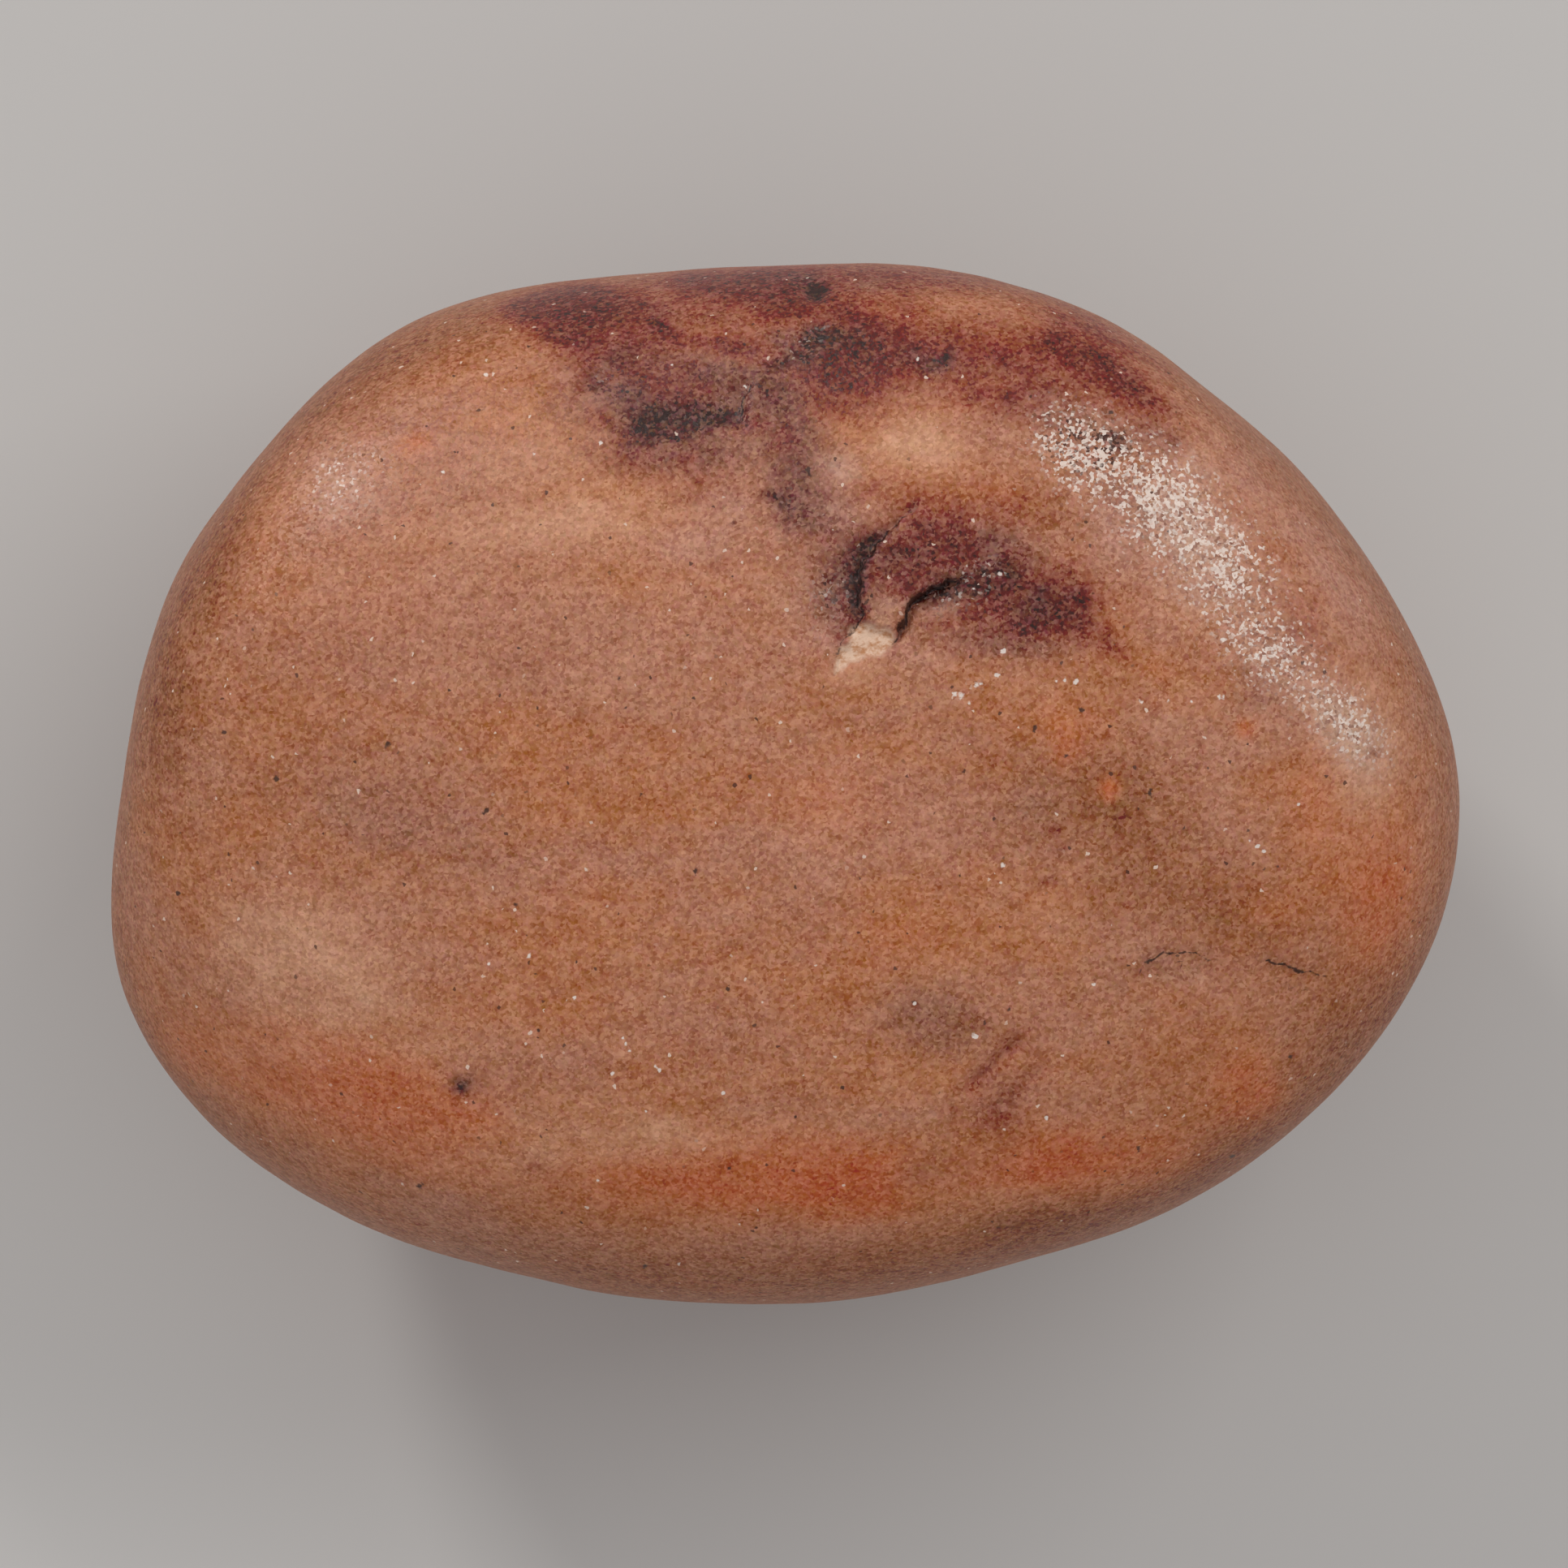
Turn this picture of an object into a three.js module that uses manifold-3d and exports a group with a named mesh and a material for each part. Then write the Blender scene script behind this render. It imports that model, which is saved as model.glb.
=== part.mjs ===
// Dinosaur gastrolith: one quartzite pebble, ground smooth in a stomach, lying on its flat spot
// Millimetres: +X along the length, +Y across the breadth, +Z up through the broad stained face
import * as THREE from 'three';
import { mergeVertices } from 'three/addons/utils/BufferGeometryUtils.js';
import Module from 'manifold-3d';

const wasm = await Module();
wasm.setup();

// Driving dimensions
const LENGTH = 60;
const BREADTH = 46.5;
const HEIGHT = 34;
const REST_SPOT_DEPTH = 0.3;

// Finish of the stone
const STONE_COLOUR = '#a96b48';
const STONE_ROUGHNESS = 0.6;

// Cells of the net along X, Y and Z, and how far its lines crowd towards the scar
const CELLS = { x: 32, y: 26, z: 18 };
const CROWDING = 0.35;
const CROWDED_AT = { x: 0.25, y: 0.5, z: 0 };

// Each worn face is a patch of a large ball: the way it looks in degrees round from +X and up
// from level, its distance out from the middle, and the radius of its ball
const NEARLY_FLAT = 400;
const WORN_FACES = [
  { name: 'broad face', round: 262, up: 87, out: 17.2, ball: 150 },
  { name: 'upper slope', round: 98, up: 70, out: 19.9, ball: NEARLY_FLAT },
  { name: 'crown bevel', round: 100, up: 40, out: 24.6, ball: 120 },
  { name: 'right bevel', round: 40, up: 30, out: 28.6, ball: 200 },
  { name: 'left bevel', round: 148, up: 38, out: 31.2, ball: 140 },
  { name: 'belly bevel', round: 270, up: 62, out: 21.6, ball: 80 },
  { name: 'belly bevel, low', round: 268, up: 30, out: 25.2, ball: 80 },
  { name: 'heel bevel', round: 217, up: 54, out: 26, ball: 100 },
  { name: 'heel bevel, low', round: 213, up: 26, out: 33, ball: 100 },
  { name: 'toe bevel', round: 325, up: 54, out: 26.4, ball: 80 },
  { name: 'toe bevel, low', round: 327, up: 26, out: 33, ball: 100 },
  { name: 'right tip', round: 354, up: -5, out: 33.2, ball: NEARLY_FLAT },
  { name: 'right brow', round: 18, up: -6, out: 30.8, ball: 120 },
  { name: 'right shoulder', round: 42, up: -4, out: 27.5, ball: 90 },
  { name: 'crown, right end', round: 66, up: -4, out: 25, ball: 100 },
  { name: 'crown', round: 94, up: 2, out: 23.45, ball: 200 },
  { name: 'crown, left end', round: 120, up: -3, out: 28.3, ball: 120 },
  { name: 'temple', round: 145, up: 0, out: 28.1, ball: 200 },
  { name: 'cheek', round: 173, up: -2, out: 29.95, ball: NEARLY_FLAT },
  { name: 'heel', round: 197, up: 2, out: 37, ball: NEARLY_FLAT },
  { name: 'heel, low', round: 219, up: -3, out: 32.8, ball: 120 },
  { name: 'belly, left end', round: 241, up: 3, out: 28.1, ball: 120 },
  { name: 'belly', round: 265, up: -2, out: 23.85, ball: 120 },
  { name: 'belly, right end', round: 288, up: 3, out: 24.1, ball: 120 },
  { name: 'toe', round: 311, up: -3, out: 28.7, ball: 120 },
  { name: 'toe, right end', round: 335, up: -3, out: 31.1, ball: 120 },
  { name: 'resting face', round: 80, up: -88, out: 16.8, ball: 90 },
  { name: 'under the crown', round: 98, up: -50, out: 20.4, ball: 80 },
  { name: 'under the brow', round: 38, up: -42, out: 24, ball: 80 },
  { name: 'under the right tip', round: 350, up: -44, out: 25.4, ball: 80 },
  { name: 'under the cheek', round: 160, up: -46, out: 24.6, ball: 80 },
  { name: 'under the heel', round: 205, up: -42, out: 27.6, ball: 80 },
  { name: 'under the toe', round: 275, up: -48, out: 20.8, ball: 80 },
  { name: 'under the toe, right end', round: 315, up: -46, out: 23, ball: 80 },
];

// How crisply the worn faces meet: higher is crisper
const SHARPNESS = 17;

// Low swells where two worn faces meet less rounded: the way they lie, their height in mm, and
// how far they spread in degrees
const SWELLS = [
  { name: 'left brow', round: 162, up: 5, height: 0.5, spread: 10 },
  { name: 'left end of the crown', round: 121, up: 0, height: 0.2, spread: 10 },
  { name: 'heel point', round: 196, up: 4, height: 0.35, spread: 11 },
  { name: 'toe knuckle', round: 316, up: 2, height: 0.25, spread: 14 },
  { name: 'right flank', round: 348, up: 4, height: 0.2, spread: 10 },
];

// Slow unevenness of the worn skin: the height in mm and the way of each wave that crosses it
const WEAR_WAVES = [
  { height: 0.05, along: new THREE.Vector3(0.31, 0.22, 0.12), start: 0.4 },
  { height: 0.04, along: new THREE.Vector3(-0.26, 0.41, 0.2), start: 2.1 },
  { height: 0.03, along: new THREE.Vector3(0.55, -0.3, 0.35), start: 4.4 },
];

// Places where the stone was bruised after it was worn smooth. Each is a small bite, as long,
// wide and deep as given, turned from +X, and leaning so that one of its long sides is steep
const BITES = [
  { name: 'dip beside the tongue', x: 3.1, y: 9.3, turn: 84, long: 5, wide: 1.5, deep: 0.35, lean: 12 },
  { name: 'tongue, left crack', x: 4.1, y: 10.6, turn: 56, long: 4.6, wide: 0.6, deep: 0.45, lean: 0 },
  { name: 'tongue, left crack foot', x: 3.3, y: 7.9, turn: 84, long: 2.8, wide: 0.6, deep: 0.45, lean: 0 },
  { name: 'tongue, right crack', x: 6.9, y: 8.9, turn: 24, long: 3, wide: 0.7, deep: 0.7, lean: 0 },
  { name: 'tongue, right crack foot', x: 5.3, y: 7.3, turn: 72, long: 2.6, wide: 0.6, deep: 0.7, lean: 0 },
  { name: 'fresh chip', x: 3.7, y: 6.1, turn: 38, long: 3.2, wide: 1.7, deep: 0.4, lean: -14 },
  { name: 'stained hollow', x: 9, y: 8.4, turn: -16, long: 7, wide: 3, deep: 0.3, lean: 0 },
  { name: 'notch', x: -2.1, y: 16.9, turn: 84, long: 2.4, wide: 1.1, deep: 0.4, lean: 18 },
  { name: 'stained furrow', x: -4.4, y: 16.4, turn: 4, long: 5.4, wide: 1.4, deep: 0.25, lean: 0 },
  { name: 'sparkling furrow', x: 0.8, y: 19.5, turn: 40, long: 3.6, wide: 1, deep: 0.25, lean: 0 },
  { name: 'black pit', x: 1.4, y: 22, turn: 0, long: 1.1, wide: 0.8, deep: 0.45, lean: 0 },
  { name: 'long crescent', x: 17.7, y: -8, turn: -3, long: 4, wide: 1.1, deep: 0.22, lean: 10 },
  { name: 'short crescent', x: 22.7, y: -8.4, turn: -14, long: 3, wide: 0.9, deep: 0.22, lean: 10 },
  { name: 'gouge', x: 9.5, y: -12.4, turn: 40, long: 3.2, wide: 0.7, deep: 0.3, lean: 0 },
  { name: 'short gouge', x: 11.3, y: -13, turn: 34, long: 1.6, wide: 0.6, deep: 0.22, lean: 0 },
  { name: 'upper pit', x: 12.3, y: -2.1, turn: 20, long: 1.3, wide: 0.8, deep: 0.25, lean: 0 },
  { name: 'lower pit', x: 12.5, y: -3.2, turn: -10, long: 1.4, wide: 0.8, deep: 0.25, lean: 0 },
];

const BITE_STEPS = { round: 12, down: 6 };

function looking(round, up) {
  const polar = THREE.MathUtils.degToRad(90 - up);
  const turn = THREE.MathUtils.degToRad(round);
  const flat = Math.sin(polar);
  return new THREE.Vector3(flat * Math.cos(turn), flat * Math.sin(turn), Math.cos(polar));
}

// Distance from the middle to the skin of the block, in a direction of unit length: the worn
// faces rounded into each other, as a power mean of their own distances
function blockReach(direction) {
  let sum = 0;
  for (const { normal, out, ball } of WORN_FACES) {
    const middle = direction.dot(normal) * (out - ball);
    const reach = middle + Math.sqrt(middle ** 2 + ball ** 2 - (out - ball) ** 2);
    sum += reach ** -SHARPNESS;
  }
  return sum ** (-1 / SHARPNESS);
}

function swellHeight(direction) {
  let height = 0;
  for (const swell of SWELLS) {
    const away = THREE.MathUtils.radToDeg(direction.angleTo(swell.middle));
    height += swell.height * Math.exp(-((away / swell.spread) ** 2));
  }
  return height;
}

function waveHeight(point) {
  let height = 0;
  for (const wave of WEAR_WAVES) {
    height += wave.height * Math.sin(point.dot(wave.along) + wave.start);
  }
  return height;
}

// Moves a place between -1 and 1 so that the lines near the given one come closer together
function crowd(place, centre) {
  const pull = Math.sin(Math.PI * (place - centre)) - Math.sin(Math.PI * centre);
  return place - (CROWDING * pull) / Math.PI;
}

// A box net, stretched to the stone's proportions and pushed out to the worn skin
function wornBlock() {
  const net = new THREE.BoxGeometry(2, 2, 2, CELLS.x, CELLS.y, CELLS.z);
  const places = net.getAttribute('position');
  const point = new THREE.Vector3();
  for (let i = 0; i < places.count; i += 1) {
    point.fromBufferAttribute(places, i);
    point.x = crowd(point.x, CROWDED_AT.x) * LENGTH;
    point.y = crowd(point.y, CROWDED_AT.y) * BREADTH;
    point.z = crowd(point.z, CROWDED_AT.z) * HEIGHT;
    const direction = point.clone().normalize();
    point.copy(direction).multiplyScalar(blockReach(direction) + swellHeight(direction));
    point.addScaledVector(direction, waveHeight(point));
    places.setXYZ(i, point.x, point.y, point.z);
  }
  net.computeBoundingBox();
  const size = net.boundingBox.getSize(new THREE.Vector3());
  const middle = net.boundingBox.getCenter(new THREE.Vector3());
  const fullHeight = HEIGHT + REST_SPOT_DEPTH;
  net.translate(-middle.x, -middle.y, -net.boundingBox.min.z);
  net.scale(LENGTH / size.x, BREADTH / size.y, fullHeight / size.z);
  net.translate(0, 0, -REST_SPOT_DEPTH);
  return net;
}

function toSolid(geometry) {
  const bare = geometry.clone();
  bare.deleteAttribute('normal');
  bare.deleteAttribute('uv');
  const merged = mergeVertices(bare);
  return new wasm.Manifold(new wasm.Mesh({
    numProp: 3,
    vertProperties: new Float32Array(merged.getAttribute('position').array),
    triVerts: new Uint32Array(merged.getIndex().array),
  }));
}

function toGeometry(solid) {
  const { numProp, vertProperties, triVerts } = solid.getMesh();
  const geometry = new THREE.BufferGeometry();
  geometry.setAttribute('position', new THREE.BufferAttribute(vertProperties, numProp));
  geometry.setIndex(new THREE.BufferAttribute(triVerts, 1));
  geometry.computeVertexNormals();
  return geometry;
}

// The ground that wears the resting spot flat
function ground() {
  const slab = new THREE.BoxGeometry(2 * LENGTH, 2 * BREADTH, HEIGHT);
  return slab.translate(0, 0, -HEIGHT / 2);
}

// A squashed ball set half into the skin, square to it, over the bruised place
function biteTool(skin, { x, y, turn, long, wide, deep, lean }) {
  const above = new THREE.Vector3(x, y, 2 * HEIGHT);
  const down = new THREE.Vector3(0, 0, -1);
  const [hit] = new THREE.Raycaster(above, down).intersectObject(skin);
  const tool = new THREE.SphereGeometry(1, BITE_STEPS.round, BITE_STEPS.down);
  tool.scale(long / 2, wide / 2, deep);
  tool.rotateX(THREE.MathUtils.degToRad(lean));
  tool.rotateZ(THREE.MathUtils.degToRad(turn));
  const up = new THREE.Vector3(0, 0, 1);
  tool.applyQuaternion(new THREE.Quaternion().setFromUnitVectors(up, hit.face.normal));
  return tool.translate(hit.point.x, hit.point.y, hit.point.z);
}

function stoneMaterial() {
  return new THREE.MeshStandardMaterial({
    color: STONE_COLOUR,
    roughness: STONE_ROUGHNESS,
    metalness: 0,
  });
}

function stoneMesh() {
  const block = wornBlock();
  const material = stoneMaterial();
  const skin = new THREE.Mesh(block, material);
  let solid = toSolid(block).subtract(toSolid(ground()));
  for (const bite of BITES) {
    solid = solid.subtract(toSolid(biteTool(skin, bite)));
  }
  const stone = new THREE.Mesh(toGeometry(solid), material);
  stone.name = 'stone';
  return stone;
}

for (const face of WORN_FACES) {
  face.normal = looking(face.round, face.up);
}
for (const swell of SWELLS) {
  swell.middle = looking(swell.round, swell.up);
}

const gastrolith = new THREE.Group();
gastrolith.add(stoneMesh());

export default gastrolith;
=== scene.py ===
# %% [markdown]
# A dinosaur's stomach stone: one quartzite pebble, worn smooth, seen straight from above.
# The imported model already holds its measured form. Here the same form is worked out again on a
# much finer net, and then gets what the coarse solid can't hold: grain, cracks, stains and polish.

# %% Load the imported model
import math

import bpy
import numpy as np
from mathutils import Matrix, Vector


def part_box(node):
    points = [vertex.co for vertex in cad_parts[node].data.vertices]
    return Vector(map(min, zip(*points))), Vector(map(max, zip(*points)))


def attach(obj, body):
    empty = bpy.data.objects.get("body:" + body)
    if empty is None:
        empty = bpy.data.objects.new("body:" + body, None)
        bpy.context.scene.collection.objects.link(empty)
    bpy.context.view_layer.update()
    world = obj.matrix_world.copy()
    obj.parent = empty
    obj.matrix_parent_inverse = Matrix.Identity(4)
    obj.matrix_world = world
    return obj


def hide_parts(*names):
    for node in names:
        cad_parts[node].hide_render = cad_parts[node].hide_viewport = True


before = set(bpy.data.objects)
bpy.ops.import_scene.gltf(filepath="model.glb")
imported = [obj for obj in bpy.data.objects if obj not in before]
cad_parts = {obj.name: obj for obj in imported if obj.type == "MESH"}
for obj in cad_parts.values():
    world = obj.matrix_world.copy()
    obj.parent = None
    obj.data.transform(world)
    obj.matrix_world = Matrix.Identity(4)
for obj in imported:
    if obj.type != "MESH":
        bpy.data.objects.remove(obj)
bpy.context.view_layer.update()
low_corner, high_corner = (np.array(corner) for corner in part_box("stone"))
print("stone's box in mm:", np.round((high_corner - low_corner) * 1000, 2))

# %% [markdown]
# Blender works in metres, but a pebble is easier to think about in millimetres. So every shape
# below is worked out in millimetres, and turned to metres only when it goes into a mesh.
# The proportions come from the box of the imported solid, so the two can't drift apart.

# %% The stone's sizes in millimetres
MM = 0.001
LENGTH, BREADTH, HEIGHT = (high_corner - low_corner) / MM
REST_SPOT_DEPTH = 0.3
print(f"length {LENGTH:.2f}, breadth {BREADTH:.2f}, height {HEIGHT:.2f}")

# %% [markdown]
# A pebble has no seams, so it needs a closed net with no pole where the cells bunch up.
# A ball of longitude lines has two poles, and a cube pushed outwards has none: its six sides are
# plain grids. The lines are set closer together over the scar, because that is where the small
# steps are, and wider apart where the stone is plain.

# %% Lines of the net
NET_CELLS = {"x": 172, "y": 140, "z": 62}
BUSY_X, BUSY_Y = (0.19, 0.16, 2.3), (0.41, 0.2, 2.2)  # place, reach and gain
FINE_STEPS = 4001


def net_lines(cells, busy_at=0.0, busy_reach=1.0, gain=0.0):
    """Places of the net's lines between -1 and 1. Their density is 1 plus gain times a bell curve
    around the busy place, and equal shares of its running total give the lines."""
    fine = np.linspace(-1, 1, FINE_STEPS)
    density = 1 + gain * np.exp(-(((fine - busy_at) / busy_reach) ** 2))
    total = np.concatenate([[0], np.cumsum(density[1:] + density[:-1])])
    return np.interp(np.linspace(0, total[-1], cells + 1), total, fine)


lines = [
    net_lines(NET_CELLS["x"], *BUSY_X),
    net_lines(NET_CELLS["y"], *BUSY_Y),
    net_lines(NET_CELLS["z"]),
]
for line, size in zip(lines, (LENGTH, BREADTH)):
    print(f"closest lines are {np.diff(line).min() * size / 2:.2f} mm apart")

# %% [markdown]
# Six grids side by side would have double points along their shared edges, and light would show
# the seams. So the net's points are numbered by their place in the whole lattice.

# %% Box net with its seams closed
def box_net(lines):
    """Points and quads of a closed box. Each side is a grid of lattice places, and a place that two
    or three sides share has one lattice number, so finding the unique numbers closes the seams."""
    counts = [len(line) for line in lines]
    sides = []
    for axis in range(3):
        across, up = (axis + 1) % 3, (axis + 2) % 3
        for end in (0, counts[axis] - 1):
            place = [None, None, None]
            place[across], place[up] = np.meshgrid(
                np.arange(counts[across]), np.arange(counts[up]), indexing="ij")
            place[axis] = np.full_like(place[across], end)
            number = np.ravel_multi_index(place, counts)
            quads = np.stack(
                [number[:-1, :-1], number[1:, :-1], number[1:, 1:], number[:-1, 1:]], axis=-1)
            quads = quads.reshape(-1, 4)
            sides.append(quads if end else quads[:, ::-1])
    numbers, quads = np.unique(np.concatenate(sides), return_inverse=True)
    steps = np.unravel_index(numbers, counts)
    points = np.stack([line[step] for line, step in zip(lines, steps)], axis=-1)
    return points, quads.reshape(-1, 4)


net_points, net_quads = box_net(lines)
print(len(net_points), "points,", 2 * len(net_quads), "triangles")

# %% [markdown]
# Grinding against other stones wears a pebble into shallow faces that round into each other.
# Each face here is a patch of a large ball. The distance to the skin in any direction is a
# soft smallest of the distances to those balls, so the faces meet in worn, rounded edges.
# The table is the same as in the solid's source. Each row is the way the face looks, in degrees
# round from +X and up from level, its distance out from the middle, and the radius of its ball.

# %% Worn faces of the pebble
NEARLY_FLAT = 400
WORN_FACES = [
    ("broad face", 262, 87, 17.2, 150),
    ("upper slope", 98, 70, 19.9, NEARLY_FLAT),
    ("crown bevel", 100, 40, 24.6, 120),
    ("right bevel", 40, 30, 28.6, 200),
    ("left bevel", 148, 38, 31.2, 140),
    ("belly bevel", 270, 62, 21.6, 80),
    ("belly bevel, low", 268, 30, 25.2, 80),
    ("heel bevel", 217, 54, 26, 100),
    ("heel bevel, low", 213, 26, 33, 100),
    ("toe bevel", 325, 54, 26.4, 80),
    ("toe bevel, low", 327, 26, 33, 100),
    ("right tip", 354, -5, 33.2, NEARLY_FLAT),
    ("right brow", 18, -6, 30.8, 120),
    ("right shoulder", 42, -4, 27.5, 90),
    ("crown, right end", 66, -4, 25, 100),
    ("crown", 94, 2, 23.45, 200),
    ("crown, left end", 120, -3, 28.3, 120),
    ("temple", 145, 0, 28.1, 200),
    ("cheek", 173, -2, 29.95, NEARLY_FLAT),
    ("heel", 197, 2, 37, NEARLY_FLAT),
    ("heel, low", 219, -3, 32.8, 120),
    ("belly, left end", 241, 3, 28.1, 120),
    ("belly", 265, -2, 23.85, 120),
    ("belly, right end", 288, 3, 24.1, 120),
    ("toe", 311, -3, 28.7, 120),
    ("toe, right end", 335, -3, 31.1, 120),
    ("resting face", 80, -88, 16.8, 90),
    ("under the crown", 98, -50, 20.4, 80),
    ("under the brow", 38, -42, 24, 80),
    ("under the right tip", 350, -44, 25.4, 80),
    ("under the cheek", 160, -46, 24.6, 80),
    ("under the heel", 205, -42, 27.6, 80),
    ("under the toe", 275, -48, 20.8, 80),
    ("under the toe, right end", 315, -46, 23, 80),
]
SHARPNESS = 17


def looking(turn, up):
    """Unit direction that looks a number of degrees round from +X and up from level."""
    turn, up = math.radians(turn), math.radians(up)
    return np.array([math.cos(up) * math.cos(turn), math.cos(up) * math.sin(turn), math.sin(up)])


def block_reach(directions):
    """Distance from the middle to the skin along unit directions. For each face, c is the
    direction's share along the face's own direction times (out - ball), and the distance to its
    ball is c + sqrt(c² + ball² - (out - ball)²). The power mean of all rounds them together."""
    total = np.zeros(len(directions))
    for _, turn, up, out, ball in WORN_FACES:
        middle = directions @ looking(turn, up) * (out - ball)
        reach = middle + np.sqrt(middle ** 2 + ball ** 2 - (out - ball) ** 2)
        total += reach ** -SHARPNESS
    return total ** (-1 / SHARPNESS)


# %% [markdown]
# Two more things make a worn stone look real and not turned on a lathe: low swells where two
# faces meet less rounded, and a slow unevenness that you feel more than you see.

# %% Swells and slow unevenness
SWELLS = [  # name, degrees round and up, height in mm, spread in degrees
    ("left brow", 162, 5, 0.5, 10),
    ("left end of the crown", 121, 0, 0.2, 10),
    ("heel point", 196, 4, 0.35, 11),
    ("toe knuckle", 316, 2, 0.25, 14),
    ("right flank", 348, 4, 0.2, 10),
]
WEAR_WAVES = [  # height in mm, radians per mm along x, y and z, start
    (0.05, (0.31, 0.22, 0.12), 0.4),
    (0.04, (-0.26, 0.41, 0.2), 2.1),
    (0.03, (0.55, -0.3, 0.35), 4.4),
]


def worn_skin(places):
    """Skin points for places on the box net. A place stretched to the stone's proportions gives a
    direction, and the point is that direction times reach, swells and waves. The result is then
    fitted to the solid's box, and what is below the resting level is worn flat."""
    directions = places * (LENGTH, BREADTH, HEIGHT)
    directions = directions / np.linalg.norm(directions, axis=1, keepdims=True)
    reach = block_reach(directions)
    for _, turn, up, height, spread in SWELLS:
        away = np.degrees(np.arccos(np.clip(directions @ looking(turn, up), -1, 1)))
        reach += height * np.exp(-((away / spread) ** 2))
    points = directions * reach[:, None]
    waves = sum(height * np.sin(points @ np.array(along) + start)
                for height, along, start in WEAR_WAVES)
    points += directions * waves[:, None]
    low, high = points.min(axis=0), points.max(axis=0)
    size = np.array([LENGTH, BREADTH, HEIGHT + REST_SPOT_DEPTH])
    points = (points - (low + high) / 2) * size / (high - low)
    points += (low_corner + high_corner) / 2 / MM - (0, 0, REST_SPOT_DEPTH / 2)
    points[:, 2] = np.maximum(points[:, 2], low_corner[2] / MM)
    return points


skin = worn_skin(net_points)
print("skin from", np.round(skin.min(axis=0), 2), "to", np.round(skin.max(axis=0), 2))

# %% [markdown]
# Relief is added along the skin's own normal, so a ridge near the rim leans outwards as it should.
# The normal at a point is the sum of the normals of the quads around it.

# %% Normals of the skin
def skin_normals(points, quads):
    """Unit normals at the points: each quad's diagonals crossed, added up at its corners."""
    corners = points[quads]
    facing = np.cross(corners[:, 2] - corners[:, 0], corners[:, 3] - corners[:, 1])
    total = np.stack([np.bincount(quads.ravel(), np.repeat(share, 4), len(points))
                      for share in facing.T], axis=-1)
    return total / np.linalg.norm(total, axis=1, keepdims=True)


normals = skin_normals(skin, net_quads)

# %% [markdown]
# Nothing on a natural stone is drawn with a ruler, so most of the shapes below are shaken a
# little by a random pattern. A handful of sine waves that run in random directions is enough.

# %% Random ripples
def ripples(points, wave, seed, count=28):
    """About -1 to 1: the sum of sine waves of nearly the same length in mm, each with its own
    random direction and start, divided by the root of their number."""
    chance = np.random.default_rng(seed)
    ways = chance.normal(size=(3, count))
    ways *= 2 * np.pi / wave * chance.uniform(0.75, 1.35, count) / np.linalg.norm(ways, axis=0)
    starts = chance.uniform(0, 2 * np.pi, count)
    return np.sin(points @ ways + starts).sum(axis=1) / math.sqrt(count)


# %% [markdown]
# The side that the photo shows is bruised. There are cracks with one side standing higher,
# furrows, pits, and a chip with a fresh face. Each is placed by its x and y in the photo, in
# millimetres at the level of the stone's waist. The camera is near enough that the top of the
# stone looks 3% larger than its waist, so a point of the skin is first carried to that level.
# A fade keeps the features off the underside, which has the same x and y.

# %% Places as the photo shows them
CAMERA_DISTANCE = 485.0
WAIST = HEIGHT / 2
FADE_FROM, FADE_OVER = 9, 5  # mm above the floor


def as_pictured(points):
    """x and y at the waist's level on the straight line from the camera through each point: x and y
    times distance / (distance - height above the waist)."""
    return points[:, :2] * (CAMERA_DISTANCE / (CAMERA_DISTANCE + WAIST - points[:, 2:]))


def seen_side(points):
    """1 on the upper side of the stone, 0 on the lower side, with a smooth change between."""
    part = np.clip((points[:, 2] - FADE_FROM) / FADE_OVER, 0, 1)
    return part * part * (3 - 2 * part)


seen = as_pictured(skin)
print("the top looks", round(float(seen[:, 0].max() / skin[:, 0].max()), 3), "times as wide")

# %% [markdown]
# Cracks, and the edge of the chip, follow paths of short straight runs. What counts for a point
# is how far it is from such a path, on which side, and how far along.

# %% How far a point is from a path
def beside_path(seen, path):
    """Distance of each seen place from a path of straight runs, positive on the path's left, and
    how far along the path it is, from 0 to 1. The nearest run counts."""
    path = np.array(path, float)
    runs = np.diff(path, axis=0)
    lengths = np.linalg.norm(runs, axis=1)
    starts = np.concatenate([[0], np.cumsum(lengths)])
    nearest = np.full(len(seen), np.inf)
    side = np.ones(len(seen))
    along = np.zeros(len(seen))
    for start, run, length, before in zip(path, runs, lengths, starts):
        offset = seen - start
        share = np.clip(offset @ run / length ** 2, 0, 1)
        away = np.linalg.norm(offset - share[:, None] * run, axis=1)
        closer = away < nearest
        nearest = np.where(closer, away, nearest)
        side = np.where(closer, np.sign(run[0] * offset[:, 1] - run[1] * offset[:, 0]), side)
        along = np.where(closer, (before + share * length) / starts[-1], along)
    return nearest * side, along


# %% [markdown]
# A crack's left side stands higher by its lip and its right side lower by its drop, both fading
# over its reach. Along the line itself runs a slot. All of it tapers to nothing at the two ends.
# Each point near a crack also keeps its distance from the line and the half width of the dark
# gap, so the material can draw a line far finer than the net.

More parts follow.
